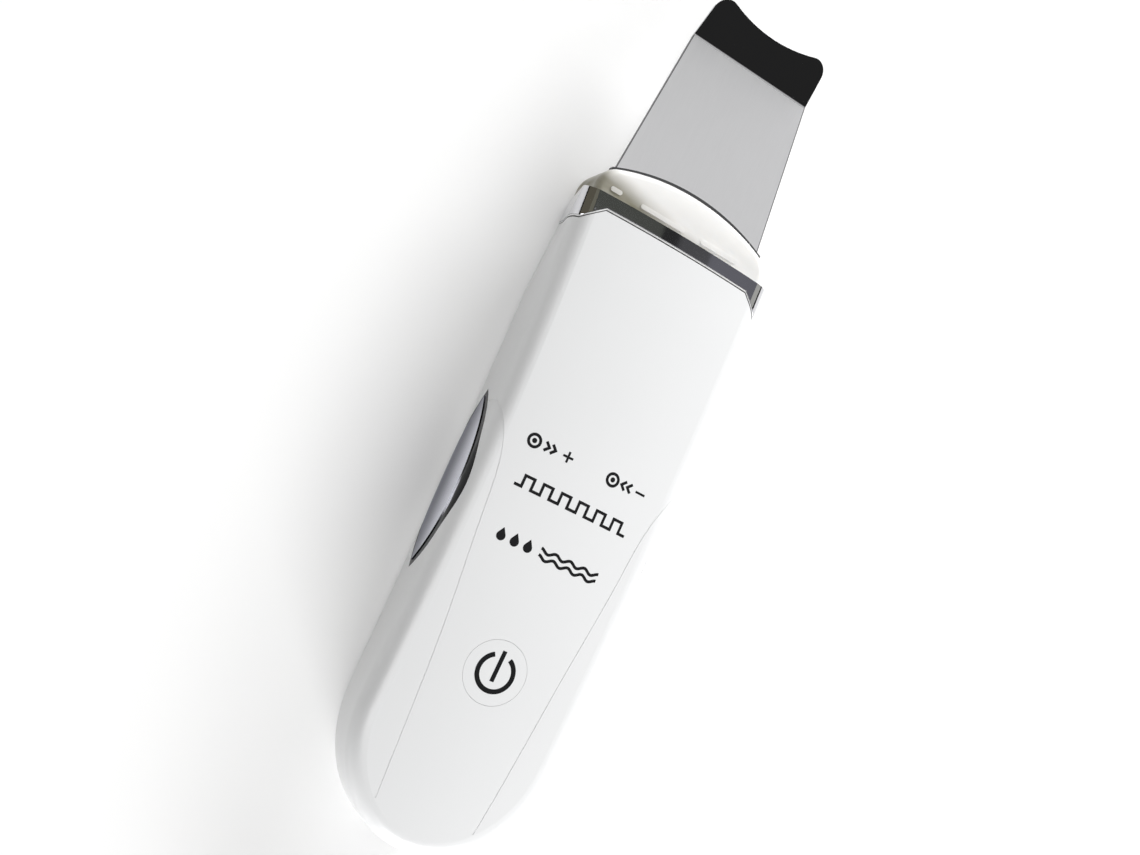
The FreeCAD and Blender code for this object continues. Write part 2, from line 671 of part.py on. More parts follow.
def blade_profile():
    """Side view of the bent steel sheet, swept across the device's width."""
    centre_z = BLADE_TOP_Z + BEND_R
    angle = math.radians(BEND_ANGLE)
    reach = (TIP_APEX_Y + 2.0 - BEND_Y) / math.cos(angle)

    def bend(radius, turn):
        return V(0, BEND_Y + radius * math.sin(turn), centre_z - radius * math.cos(turn))

    run = V(0, math.cos(angle), math.sin(angle)) * reach
    outer_r = BEND_R + BLADE_T
    top_end = bend(BEND_R, angle) + run
    low_end = bend(outer_r, angle) + run
    edges = [Part.makeLine(V(0, SHANK_END_Y, BLADE_TOP_Z), bend(BEND_R, 0)),
             Part.Arc(bend(BEND_R, 0), bend(BEND_R, angle / 2), bend(BEND_R, angle)).toShape(),
             Part.makeLine(bend(BEND_R, angle), top_end),
             Part.makeLine(top_end, low_end),
             Part.makeLine(low_end, bend(outer_r, angle)),
             Part.Arc(bend(outer_r, angle), bend(outer_r, angle / 2), bend(outer_r, 0)).toShape(),
             Part.makeLine(bend(outer_r, 0), V(0, SHANK_END_Y, BLADE_BOTTOM_Z)),
             Part.makeLine(V(0, SHANK_END_Y, BLADE_BOTTOM_Z), V(0, SHANK_END_Y, BLADE_TOP_Z))]
    face = Part.Face(Part.Wire(edges))
    face.translate(V(-FAR / 2, 0, 0))
    return face.extrude(V(FAR, 0, 0))


def blade_half(y):
    """Half width of the tapering part of the blade at y."""
    slope = (ROOT_HALF - BEND_HALF) / (BEND_Y - ROOT_Y)
    return ROOT_HALF - slope * (y - ROOT_Y)


def blade_plan(grow=0.0):
    """Blade seen from the front: shank, tapering sides and hollow tip edge."""
    apex_half = blade_half(TIP_APEX_Y) + grow
    root = ROOT_HALF + grow
    shank = SHANK_HALF + grow
    edges = [Part.makeLine(V(-shank, SHANK_END_Y, 0), V(shank, SHANK_END_Y, 0)),
             arc((-apex_half, TIP_APEX_Y, 0), (0, TIP_HOLLOW_Y, 0), (apex_half, TIP_APEX_Y, 0))]
    for side in (-1, 1):
        edges.append(Part.makeLine(V(side * shank, SHANK_END_Y, 0),
                                   V(side * shank, SHANK_SHOULDER_Y, 0)))
        edges.append(Part.makeLine(V(side * shank, SHANK_SHOULDER_Y, 0),
                                   V(side * root, ROOT_Y, 0)))
        edges.append(Part.makeLine(V(side * root, ROOT_Y, 0), V(side * apex_half, TIP_APEX_Y, 0)))
    solid = prism(edges, 0, FAR)
    corners = [e for e in solid.Edges
               if e.BoundBox.ZLength > 1 and e.BoundBox.YMin > TIP_APEX_Y - 0.1]
    solid = solid.makeFillet(TIP_CORNER_R, corners)
    shoulders = [e for e in solid.Edges
                 if e.BoundBox.ZLength > 1 and e.BoundBox.YMax < ROOT_Y + 0.1]
    return solid.makeFillet(SHOULDER_R, shoulders)


def blade():
    """Spring steel spatula with its clamped shank."""
    return blade_profile().common(blade_plan())


def blade_seal():
    """Dark silicone lip that fills the cover's slot round the blade."""
    z0 = BLADE_BOTTOM_Z - SEAL_GAP
    z1 = BLADE_TOP_Z + SEAL_GAP
    passage = blade_plan(SEAL_GAP).common(box(-FAR, FAR, 0, FAR, z0, z1))
    return seal_slot(0.0).cut(passage)


# --- blade drive --------------------------------------------------------------------------

def transducer_bracket():
    """Arched plastic block under the blade's shank."""
    y0 = PIVOT_Y - CLAMP_LENGTH / 2
    y1 = PIVOT_Y + CLAMP_LENGTH / 2
    top = BLADE_BOTTOM_Z - CLAMP_GAP
    block = box(-CLAMP_HALF, CLAMP_HALF, y0, y1, WALL + 0.02, top)
    arch = box(-BRACKET_ARCH_HALF, BRACKET_ARCH_HALF, y0, y1, 0, top - BRACKET_BRIDGE_T)
    edges = [e for e in arch.Edges if e.BoundBox.YLength > 1 and e.BoundBox.ZMin > 1]
    block = block.cut(arch.makeFillet(BRACKET_ARCH_R, edges))
    for side in (-1, 1):
        block = block.cut(post(side * CLAMP_SCREW_X, PIVOT_Y, top - BRACKET_HOLE_DEPTH, top,
                               SCREW_R + FIT_GAP))
    return block


def blade_clamp():
    """Bridge plate over the shank, standing on the bracket at both ends."""
    y0 = PIVOT_Y - CLAMP_LENGTH / 2 + CLAMP_INSET
    y1 = PIVOT_Y + CLAMP_LENGTH / 2 - CLAMP_INSET
    base = BLADE_BOTTOM_Z - CLAMP_GAP
    under = BLADE_TOP_Z + CLAMP_GAP
    opening = SHANK_HALF + CLAMP_SIDE_GAP
    plate = box(-CLAMP_HALF, CLAMP_HALF, y0, y1, base, under + CLAMP_T)
    plate = plate.cut(box(-opening, opening, y0, y1, base, under))
    seat = under + CLAMP_T - CLAMP_RECESS
    for side in (-1, 1):
        x = side * CLAMP_SCREW_X
        plate = plate.cut(post(x, PIVOT_Y, 0, FAR, SCREW_R + SCREW_HOLE_GAP))
        plate = plate.cut(post(x, PIVOT_Y, seat, FAR, SCREW_HEAD_R + SCREW_HOLE_GAP))
    return plate


def upright(x, y, z_a, z_b, radius):
    """Upright cylinder between two heights given in either order."""
    return post(x, y, min(z_a, z_b), max(z_a, z_b), radius)


def screw(x, y, seat_z, length, up):
    """Cross-head screw. up is 1 when the head is on top, -1 when it is underneath."""
    end_z = seat_z + up * SCREW_HEAD_T
    head = upright(x, y, seat_z, end_z, SCREW_HEAD_R)
    shaft = upright(x, y, seat_z, seat_z - up * length, SCREW_R - 0.05)
    arm = SCREW_HEAD_R * 0.62
    slot = 0.25
    z0 = end_z - SCREW_HEAD_T / 2
    z1 = end_z + SCREW_HEAD_T / 2
    cross = box(x - arm, x + arm, y - slot, y + slot, z0, z1)
    cross = cross.fuse(box(x - slot, x + slot, y - arm, y + arm, z0, z1))
    return fuse_all([head, shaft]).cut(cross)


def clamp_screws():
    """Two screws that hold the clamp on its bracket."""
    seat = BLADE_TOP_Z + CLAMP_GAP + CLAMP_T - CLAMP_RECESS
    return group([screw(side * CLAMP_SCREW_X, PIVOT_Y, seat, CLAMP_SCREW_LENGTH, 1)
                  for side in (-1, 1)])


def piezo_disc():
    """Ceramic disc bonded under the shank."""
    top = BLADE_BOTTOM_Z
    disc = post(0, DISC_Y, top - DISC_T, top, DISC_R)
    rim = [e for e in disc.Edges if e.BoundBox.ZMax < top - DISC_T + 0.01]
    return disc.makeChamfer(DISC_CHAMFER, rim)


def piezo_leads():
    """Pair of thin leads that run from the main board's end to the underside of the disc."""
    disc_z = BLADE_BOTTOM_Z - DISC_T
    leads = []
    for x in (-3.0, 3.0):
        route = [(x, BOARD_HEAD_Y + 0.05, BOARD_Z + 0.6), (x, BOARD_HEAD_Y + 1.2, BOARD_Z + 0.4),
                 (x, BOARD_HEAD_Y + 1.5, disc_z - 1.4), (x, BOARD_HEAD_Y + 5.0, disc_z - 1.5),
                 (x, BOARD_HEAD_Y + 7.2, disc_z - 0.55)]
        leads.append(lead(route, DISC_LEAD_R))
    return group(leads)


# --- button and switch --------------------------------------------------------------------

def power_button():
    """Round cap flush with the front face, with a stop flange and a stem."""
    cap = post(0, BUTTON_Y, BUTTON_FLANGE_TOP - 0.1, FAR / 2, BUTTON_R).common(cached_form(0.0))
    flange = post(0, BUTTON_Y, BUTTON_FLANGE_TOP - BUTTON_FLANGE_T, BUTTON_FLANGE_TOP,
                  BUTTON_FLANGE_R)
    stem = post(0, BUTTON_Y, PLUNGER_TOP + 0.02, BUTTON_FLANGE_TOP, STEM_R)
    return fuse_all([cap, flange, stem])


def button_return_ring():
    """Silicone bellows that pushes the cap back out."""
    z0 = BOARD_TOP + 0.02
    z1 = BUTTON_FLANGE_TOP - BUTTON_FLANGE_T - 0.02
    mid = (z0 + z1) / 2
    outline = [(RING_END_R, 0, z0), (RING_R, 0, mid), (RING_END_R, 0, z1),
               (RING_END_R - RING_WALL, 0, z1), (RING_R - RING_WALL, 0, mid),
               (RING_END_R - RING_WALL, 0, z0)]
    face = Part.Face(Part.Wire(polygon(outline)))
    ring = face.revolve(V(0, 0, 0), V(0, 0, 1), 360)
    ring.translate(V(0, BUTTON_Y, 0))
    return ring


def switch_body():
    """Tactile switch housing on the main board."""
    body = box(-SWITCH_HALF, SWITCH_HALF, BUTTON_Y - SWITCH_HALF, BUTTON_Y + SWITCH_HALF,
               BOARD_TOP + 0.01, SWITCH_TOP)
    return body.cut(post(0, BUTTON_Y, BOARD_TOP + 0.4, SWITCH_TOP, PLUNGER_R + FIT_GAP))


def switch_plunger():
    """Plunger that the button's stem pushes."""
    return post(0, BUTTON_Y, BOARD_TOP + 1.0, PLUNGER_TOP, PLUNGER_R)


# --- boards and electronics ---------------------------------------------------------------

def main_board():
    """Long control board, screwed to the front casing's bosses."""
    board = box(-BOARD_HALF, BOARD_HALF, BOARD_TAIL_Y, BOARD_HEAD_Y, BOARD_Z, BOARD_TOP)
    corners = [e for e in board.Edges if e.BoundBox.ZLength > 0.5]
    board = board.makeFillet(BOARD_CORNER_R, corners)
    for x, y in BOARD_SCREWS:
        board = board.cut(post(x, y, 0, FAR, SCREW_R + SCREW_HOLE_GAP))
    return board


def board_screws():
    """Four screws that hold the main board, driven from behind."""
    return group([screw(x, y, BOARD_Z - 0.02, 4.6, -1) for x, y in BOARD_SCREWS])


def on_board(x, y, half_x, half_y, height):
    """Block soldered on the main board's front side."""
    return box(x - half_x, x + half_x, y - half_y, y + half_y, BOARD_TOP + 0.01,
               BOARD_TOP + height)


def control_chip():
    """Microcontroller package with its two rows of legs."""
    parts = [on_board(0, CHIP_Y, CHIP_HALF_X, CHIP_HALF_Y, CHIP_HEIGHT)]
    pitch = 2 * CHIP_HALF_Y / (CHIP_LEGS + 1)
    for side in (-1, 1):
        for leg in range(CHIP_LEGS):
            y = CHIP_Y - CHIP_HALF_Y + pitch * (leg + 1)
            parts.append(on_board(side * (CHIP_HALF_X + 0.5), y, 0.6, 0.2, CHIP_HEIGHT / 3))
    return fuse_all(parts)


def driver_capacitors():
    """Round electrolytic capacitors on square bases."""
    cans = []
    base_half = CAPACITOR_R + 0.2
    for x, y in CAPACITORS:
        base = on_board(x, y, base_half, base_half, 0.6)
        can = post(x, y, BOARD_TOP + 0.3, BOARD_TOP + CAPACITOR_HEIGHT, CAPACITOR_R)
        cans.append(fuse_all([base, can]))
    return group(cans)


def transformer_core():
    """Ferrite core of the step-up transformer: two legs, two yokes and a thinner centre post."""
    x0 = CORE_X - CORE_HALF_X + 1.3
    x1 = CORE_X + CORE_HALF_X - 1.3
    y_leg = CORE_HALF_Y - CORE_LEG
    core = on_board(CORE_X, CORE_Y, CORE_HALF_X, CORE_HALF_Y, CORE_HEIGHT)
    window = box(x0, x1, CORE_Y - y_leg, CORE_Y + y_leg, 0, FAR)
    centre_post = box(x0 - 0.1, x1 + 0.1, CORE_Y - CORE_POST_HALF, CORE_Y + CORE_POST_HALF,
                      CORE_POST_Z0, CORE_POST_Z1)
    return fuse_all([core.cut(window), centre_post])


def transformer_coil():
    """Copper winding round the core's centre post."""
    x0 = CORE_X - CORE_HALF_X + 1.5
    x1 = CORE_X + CORE_HALF_X - 1.5
    half = CORE_HALF_Y - CORE_LEG - 0.2
    inner = CORE_POST_HALF + FIT_GAP
    coil = box(x0, x1, CORE_Y - half, CORE_Y + half, BOARD_TOP + 0.1, BOARD_TOP + CORE_HEIGHT)
    long_edges = [e for e in coil.Edges if e.BoundBox.XLength > 1]
    coil = coil.makeFillet(COIL_EDGE_R, long_edges)
    return coil.cut(box(x0 - 1, x1 + 1, CORE_Y - inner, CORE_Y + inner,
                        CORE_POST_Z0 - FIT_GAP, CORE_POST_Z1 + FIT_GAP))


def mode_leds():
    """Four indicator lamps, one behind each mode mark."""
    return group([on_board(x, y, LED_HALF_X, LED_HALF_Y, LED_HEIGHT) for x, y in LED_SPOTS])


def light_guide():
    """Clear posts that carry each lamp's light to the front face, joined by a thin web."""
    web_z0 = BOARD_TOP + GUIDE_WEB_LIFT
    web_z1 = web_z0 + GUIDE_WEB_HALF
    base_z = BOARD_TOP + LED_HEIGHT + 0.2
    pieces = [post(x, y, base_z, FAR / 2, GUIDE_R).common(cached_form(WALL + 0.3))
              for x, y in LED_SPOTS]
    left_x, left_y = LED_SPOTS[0]
    right_x, right_y = LED_SPOTS[1]
    tail_y = LED_SPOTS[3][1]
    cross_y = (left_y + right_y) / 2
    pieces.append(box(left_x, right_x, cross_y - GUIDE_WEB_HALF, cross_y + GUIDE_WEB_HALF,
                      web_z0, web_z1))
    pieces.append(box(-GUIDE_WEB_HALF, GUIDE_WEB_HALF, tail_y, cross_y, web_z0, web_z1))
    return fuse_all(pieces)


def battery_cell():
    """Rounded lithium pouch cell."""
    cell = box(-CELL_HALF, CELL_HALF, CELL_Y0, CELL_Y1, CELL_Z0, CELL_Z0 + CELL_T)
    long_edges = [e for e in cell.Edges if e.BoundBox.YLength > 1]
    return cell.makeFillet(CELL_EDGE_R, long_edges)


def battery_pad():
    """Foam pad between the cell and the rear casing."""
    return box(-PAD_HALF, PAD_HALF, CELL_Y0 + PAD_INSET, CELL_Y1 - PAD_INSET,
               WALL + 0.05, CELL_Z0 - 0.05)


def battery_connector():
    """Two-pole plug housing under the main board."""
    housing = box(PLUG_XS[0] - 2.5, PLUG_XS[1] + 2.5, PLUG_Y0, PLUG_Y1, BOARD_Z - 4.0,
                  BOARD_Z - 0.05)
    for x in PLUG_XS:
        housing = housing.cut(box(x - 0.8, x + 0.8, PLUG_Y0, PLUG_Y0 + 2.5, BOARD_Z - 2.9,
                                  BOARD_Z - 1.1))
    return housing


def battery_leads():
    """Two short leads from the cell to its connector."""
    leads = []
    for x in PLUG_XS:
        route = [(x, CELL_Y1 + 0.05, 6.4), (x, CELL_Y1 + 2.2, 6.6), (x, CELL_Y1 + 3.6, 9.6),
                 (x, PLUG_Y0 + 1.9, BOARD_Z - 2.0)]
        leads.append(lead(route, BATTERY_LEAD_R))
    return group(leads)


def charge_board():
    """Small board that carries the charging socket."""
    z0 = SOCKET_Z0 + SOCKET_H + 0.05
    return box(-CHARGE_HALF, CHARGE_HALF, CHARGE_Y0, CHARGE_Y1, z0, z0 + CHARGE_T)


def charge_leads():
    """Two leads from the charging board to the main board."""
    z0 = SOCKET_Z0 + SOCKET_H + CHARGE_T + 0.1
    leads = []
    for x in (-2.0, 2.0):
        route = [(x, CHARGE_Y1 - 2.0, z0 + 0.5), (x, CHARGE_Y1 + 0.6, z0 + 0.7),
                 (x, CHARGE_Y1 + 3.0, z0 + 3.0), (x, BOARD_TAIL_Y - 0.6, BOARD_Z + 0.2)]
        leads.append(lead(route, CHARGE_LEAD_R))
    return group(leads)


def socket_outline(inset):
    """End view of the charging socket: wide at the top, narrower at the bottom."""
    half = SOCKET_HALF - inset
    z0 = SOCKET_Z0 + inset
    z1 = SOCKET_Z0 + SOCKET_H - inset
    step = 0.9
    return [(-half, 0, z1), (half, 0, z1), (half, 0, z0 + step), (half - step, 0, z0),
            (-half + step, 0, z0), (-half, 0, z0 + step)]


def socket_bar(inset, y0, y1):
    """Bar with the socket's end view between y0 and y1."""
    face = Part.Face(Part.Wire(polygon(socket_outline(inset))))
    face.translate(V(0, y0, 0))
    return face.extrude(V(0, y1 - y0, 0))


def usb_shell():
    """Folded steel shell of the charging socket, open towards the tail."""
    hollow = socket_bar(SOCKET_SKIN, SOCKET_Y0 - 1, SOCKET_Y1 - 0.6)
    return socket_bar(0.0, SOCKET_Y0, SOCKET_Y1).cut(hollow)


def usb_tongue():
    """Insulating tongue that carries the socket's contacts."""
    mid = SOCKET_Z0 + SOCKET_H / 2 + 0.25
    tongue = box(-2.6, 2.6, SOCKET_Y0 + 1.0, SOCKET_Y1 - 0.65, mid - 0.3, mid + 0.3)
    base = socket_bar(SOCKET_SKIN + 0.03, SOCKET_Y1 - 1.6, SOCKET_Y1 - 0.65)
    return fuse_all([tongue, base])


def glow_board():
    """Small board on the bracket that lights the frosted cover."""
    y0 = PIVOT_Y + CLAMP_LENGTH / 2 + FIT_GAP
    return box(-GLOW_HALF, GLOW_HALF, y0, y0 + GLOW_T, GLOW_Z0, GLOW_Z1)


def glow_leds():
    """Lamps behind the frosted cover."""
    y0 = PIVOT_Y + CLAMP_LENGTH / 2 + GLOW_T + 2 * FIT_GAP
    return group([box(x - 0.9, x + 0.9, y0, y0 + 0.8, GLOW_Z0 + 0.6, GLOW_Z1 - 0.8)
                  for x in GLOW_XS])


def cover_gasket():
    """Silicone ring between the cover's skirt and the casings."""
    ring = skin(WALL + 0.05, WALL + 1.1)
    return ring.common(box(-FAR, FAR, COVER_BOTTOM_Y - 0.8, COVER_BOTTOM_Y - 0.03, 0, FAR))


def casing_screws():
    """Four screws that close the casings."""
    seat = PLUG_T + SCREW_HEAD_T - 0.02
    return group([screw(x, y, seat, CASE_SCREW_LENGTH, -1) for x, y in CASE_SCREWS])


def screw_plugs():
    """Small plugs that hide the casing screws."""
    return group([post(x, y, PLUG_RECESS, PLUG_T - 0.05, SCREW_HEAD_R + 0.1)
                  for x, y in CASE_SCREWS])


# --- build --------------------------------------------------------------------------------

def build_all():
    """Every sub-part by node name."""
    bezel = electrode_bezel()
    plate = electrode_plate()
    spring = contact_spring()
    return {
        "front_casing": front_casing(),
        "rear_casing": rear_casing(),
        "chrome_collar": chrome_collar(),
        "head_cover": head_cover(),
        "cover_gasket": cover_gasket(),
        "blade": blade(),
        "blade_seal": blade_seal(),
        "blade_clamp": blade_clamp(),
        "clamp_screws": clamp_screws(),
        "transducer_bracket": transducer_bracket(),
        "piezo_disc": piezo_disc(),
        "piezo_leads": piezo_leads(),
        "right_electrode": plate,
        "left_electrode": mirrored(plate),
        "right_electrode_bezel": bezel,
        "left_electrode_bezel": mirrored(bezel),
        "right_contact_spring": spring,
        "left_contact_spring": mirrored(spring),
        "power_button": power_button(),
        "button_return_ring": button_return_ring(),
        "switch_body": switch_body(),
        "switch_plunger": switch_plunger(),
        "main_board": main_board(),
        "board_screws": board_screws(),
        "control_chip": control_chip(),
        "driver_capacitors": driver_capacitors(),
        "transformer_core": transformer_core(),
        "transformer_coil": transformer_coil(),
        "mode_leds": mode_leds(),
        "light_guide": light_guide(),
        "battery_cell": battery_cell(),
        "battery_pad": battery_pad(),
        "battery_connector": battery_connector(),
        "battery_leads": battery_leads(),
        "charge_board": charge_board(),
        "charge_leads": charge_leads(),
        "usb_shell": usb_shell(),
        "usb_tongue": usb_tongue(),
        "glow_board": glow_board(),
        "glow_leds": glow_leds(),
        "casing_screws": casing_screws(),
        "screw_plugs": screw_plugs(),
    }


os.makedirs("parts", exist_ok=True)
for node, shape in build_all().items():
    shape.translate(V(0, -MIDDLE_Y, 0))
    shape.exportStep(os.path.join("parts", node + ".step"))
    limits = shape.BoundBox
    print(f"{node:22s} {len(shape.Solids):2d} {shape.isValid()} {shape.Volume:8.1f}",
          f"x {limits.XMin:.2f} {limits.XMax:.2f} y {limits.YMin:.2f} {limits.YMax:.2f}",
          f"z {limits.ZMin:.2f} {limits.ZMax:.2f}")
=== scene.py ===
import json
import math

import bmesh
import bpy
from mathutils import Matrix, Vector
from mathutils.bvhtree import BVHTree


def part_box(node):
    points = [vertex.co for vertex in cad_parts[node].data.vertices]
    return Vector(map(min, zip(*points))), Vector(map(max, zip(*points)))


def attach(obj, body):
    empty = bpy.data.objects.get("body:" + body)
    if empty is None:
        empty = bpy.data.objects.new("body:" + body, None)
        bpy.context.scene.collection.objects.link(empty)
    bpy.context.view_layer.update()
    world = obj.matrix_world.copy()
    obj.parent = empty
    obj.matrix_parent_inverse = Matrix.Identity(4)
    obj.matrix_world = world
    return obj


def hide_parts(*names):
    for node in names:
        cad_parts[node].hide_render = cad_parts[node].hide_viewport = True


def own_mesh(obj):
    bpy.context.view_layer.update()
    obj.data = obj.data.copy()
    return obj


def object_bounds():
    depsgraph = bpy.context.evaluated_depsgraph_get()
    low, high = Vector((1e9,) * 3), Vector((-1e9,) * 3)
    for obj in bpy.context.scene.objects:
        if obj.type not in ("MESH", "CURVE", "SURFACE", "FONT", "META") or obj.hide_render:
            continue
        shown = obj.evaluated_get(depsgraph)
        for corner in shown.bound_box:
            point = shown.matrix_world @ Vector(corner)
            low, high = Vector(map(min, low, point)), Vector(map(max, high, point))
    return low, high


# Ultrasonic skin scrubber: materials, printed marks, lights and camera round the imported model.
# Everything is in metres, in the model's own frame: +X right, +Y towards the blade, +Z out of
# the front face. The device lies on its rear face on a pale table.

MM = 0.001

# --- printed marks, measured from the power button's centre ----------------------------------

STANDBY_R = 3.72 * MM          # middle of the ring's stroke
STANDBY_STROKE = 0.98 * MM
STANDBY_GAP = math.radians(27)  # half of the gap at the top
STANDBY_BAR = (-1.8 * MM, 4.6 * MM)
STANDBY_BAR_WIDTH = 0.9 * MM
STANDBY_STEPS = 64

MARK_STROKE = 0.6 * MM
ION_Y = 44.1 * MM              # middle of the two upper marks
ION_PLUS_X = (-12.6 * MM, -9.0 * MM, -4.9 * MM)
ION_MINUS_X = (5.8 * MM, 9.2 * MM, 12.7 * MM)
ION_R = 1.25 * MM
ION_CORE_R = 0.525 * MM
CHEVRON = 0.95 * MM            # length of a chevron along X, and half its height
CHEVRON_OFFSET = 0.7125 * MM   # of each chevron from the middle of the pair
SIGN_HALF = 1.15 * MM
SIGN_STROKE = 0.48 * MM
PULSE_Y = 36.0 * MM            # middle of the waveform mark
PULSE_X = (-12.9 * MM, 13.2 * MM)
PULSE_HALF = 1.15 * MM
PULSE_COUNT = 6
PULSE_RUN = 1.6 * MM           # level run at each end
DEEP_Y = 24.8 * MM             # middle of the droplet and ripple mark
DROPS_X = (-10.9 * MM, -7.9 * MM, -4.9 * MM)
DROP_R = 0.95 * MM
DROP_SINK = 0.3                # of the round part under the mark's middle, in drop radii
DROP_TIP = 1.9                 # height of the tip over the round part's centre, in drop radii
DROP_FLANK = math.radians(62)  # where the round part meets the straight flanks
DROP_STEPS = 24
RIPPLE_X = (-2.2 * MM, 11.4 * MM)
RIPPLE_LEVELS = (0.55 * MM, -0.85 * MM)
RIPPLE_SWING = 0.75 * MM       # from trough to crest
RIPPLE_WAVES = 4
RIPPLE_STEPS = 72
PRINT_LIFT = 0.015 * MM        # thickness of the ink above the surface
PRINT_SINK = 0.03 * MM
PRINT_STEP = 0.4 * MM          # longest segment of a printed line

# --- camera ----------------------------------------------------------------------------------

CAMERA_AZIMUTH = -67.09        # degrees; 0 looks along +Y
CAMERA_ELEVATION = 68.03
CAMERA_ROLL = 92.9
CAMERA_DISTANCE = 0.2695
CAMERA_LENS = 41.28
CAMERA_SENSOR = 36.0
CAMERA_TARGET = Vector((-3.24 * MM, -2.8 * MM, 10.7 * MM))

# --- load ------------------------------------------------------------------------------------

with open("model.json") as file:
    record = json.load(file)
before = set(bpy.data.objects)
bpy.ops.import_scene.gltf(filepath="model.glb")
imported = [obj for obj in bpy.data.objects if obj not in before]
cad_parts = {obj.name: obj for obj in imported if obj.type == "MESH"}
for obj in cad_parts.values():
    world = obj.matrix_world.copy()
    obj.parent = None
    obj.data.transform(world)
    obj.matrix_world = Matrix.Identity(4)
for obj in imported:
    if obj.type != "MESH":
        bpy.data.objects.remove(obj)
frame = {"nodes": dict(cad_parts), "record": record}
nodes = frame["nodes"]
cad_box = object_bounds()
scene = bpy.context.scene


# --- material helpers ------------------------------------------------------------------------

class Surface:
    """One procedural material, built round a Principled shader."""

    def __init__(self, name, roughness=0.4, metallic=0.0, **constants):
        self.material = bpy.data.materials.new(name)
        self.material.use_nodes = True
        self.tree = self.material.node_tree
        self.shader = self.tree.nodes["Principled BSDF"]
        self.shader.inputs["Roughness"].default_value = roughness
        self.shader.inputs["Metallic"].default_value = metallic
        for socket, value in constants.items():
            self.shader.inputs[socket.replace("_", " ")].default_value = value
        self.place = self.add("ShaderNodeTexCoord").outputs["Object"]
        self.bumps = None

    def add(self, kind, **settings):
        node = self.tree.nodes.new(kind)
        for key, value in settings.items():
            setattr(node, key, value)
        return node

    def link(self, source, target):
        self.tree.links.new(source, target)

    def stretched(self, stretch):
        """The surface's coordinates, scaled along each axis."""
        mapping = self.add("ShaderNodeMapping")
        mapping.inputs["Scale"].default_value = stretch
        self.link(self.place, mapping.inputs["Vector"])
        return mapping.outputs["Vector"]

    def noise(self, scale, detail=3.0, stretch=(1, 1, 1), seed=0.0):
        """Noise with features 1 / scale metres across."""
        noise = self.add("ShaderNodeTexNoise", noise_dimensions="4D")
        noise.inputs["Scale"].default_value = scale
        noise.inputs["Detail"].default_value = detail
        noise.inputs["W"].default_value = seed
        self.link(self.stretched(stretch), noise.inputs["Vector"])
        return noise.outputs["Fac"]

    def ranged(self, source, low, high, start=0.3, end=0.7):
        """Values between start and end of the source, spread from low to high."""
        ranged = self.add("ShaderNodeMapRange")
        ends = (("From Min", start), ("From Max", end), ("To Min", low), ("To Max", high))
        for socket, value in ends:
            ranged.inputs[socket].default_value = value
        self.link(source, ranged.inputs["Value"])
        return ranged.outputs["Result"]

    def colours(self, source, first, second, start=0.3, end=0.7):
        """Two colours mixed by a source."""
        ramp = self.add("ShaderNodeValToRGB")
        ramp.color_ramp.elements[0].position = start
        ramp.color_ramp.elements[0].color = (*first, 1)
        ramp.color_ramp.elements[1].position = end
        ramp.color_ramp.elements[1].color = (*second, 1)
        self.link(source, ramp.inputs["Fac"])
        self.link(ramp.outputs["Color"], self.shader.inputs["Base Color"])

    def axis(self, name):
        """The surface's coordinate along X, Y or Z in metres."""
        axes = self.add("ShaderNodeSeparateXYZ")
        self.link(self.place, axes.inputs["Vector"])
        return axes.outputs[name]

    def math(self, operation, first, second=0.0):
        node = self.add("ShaderNodeMath", operation=operation)
        for socket, value in zip(node.inputs, (first, second)):
            if isinstance(value, float):
                socket.default_value = value
            else:
                self.link(value, socket)
        return node.outputs["Value"]

    def fade(self, source, start, end, low=0.0, high=1.0):
        """Smooth change from low at start to high at end."""
        faded = self.ranged(source, low, high, start, end)
        faded.node.interpolation_type = "SMOOTHSTEP"
        return faded

    def stained(self, mask, colour):
        """The base colour so far, mixed with another one by a mask."""
        mix = self.add("ShaderNodeMix", data_type="RGBA")
        colours = [socket for socket in mix.inputs if socket.type == "RGBA"]
        self.link(mask, mix.inputs["Factor"])
        self.link(self.shader.inputs["Base Color"].links[0].from_socket, colours[0])
        colours[1].default_value = (*colour, 1)
        blended = next(socket for socket in mix.outputs if socket.type == "RGBA")
        self.link(blended, self.shader.inputs["Base Color"])

    def rough(self, source, low, high):
        self.link(self.ranged(source, low, high), self.shader.inputs["Roughness"])

    def bump(self, source, height, strength=1.0):
        """Adds a bump layer of that height in metres."""
        bump = self.add("ShaderNodeBump")
        bump.inputs["Strength"].default_value = strength
        bump.inputs["Distance"].default_value = height
        self.link(source, bump.inputs["Height"])
        if self.bumps:
            self.link(self.bumps, bump.inputs["Normal"])
        self.bumps = bump.outputs["Normal"]
        self.link(self.bumps, self.shader.inputs["Normal"])


def shade(colour, factor):
    """The same colour, lighter or darker."""
    return tuple(min(1.0, channel * factor) for channel in colour)


def moulded(name, colour, roughness, grain=900.0, grain_height=0.004 * MM, vary=0.02, **constants):
    """Moulded plastic or rubber: slight tone drift, uneven gloss and a fine skin."""
    surface = Surface(name, roughness, 0.0, **constants)
    surface.colours(surface.noise(28.0, 1.0), shade(colour, 1 - vary), shade(colour, 1 + vary / 2))
    surface.rough(surface.noise(160.0, 2.0, seed=2.0), roughness * 0.93, roughness * 1.07)
    surface.bump(surface.noise(grain, 2.0, seed=5.0), grain_height, 0.5)
    return surface.material


def rolled(name, colour, roughness, direction=(8, 1, 8), vary=0.05):
    """Rolled or drawn metal with fine lines along one direction."""
    surface = Surface(name, roughness, 1.0)
    lines = surface.noise(900.0, 4.0, direction, 1.0)
    surface.colours(lines, shade(colour, 1 - vary), shade(colour, 1 + vary))
    surface.rough(lines, roughness * 0.8, roughness * 1.2)
    surface.bump(lines, 0.002 * MM, 0.4)
    return surface.material


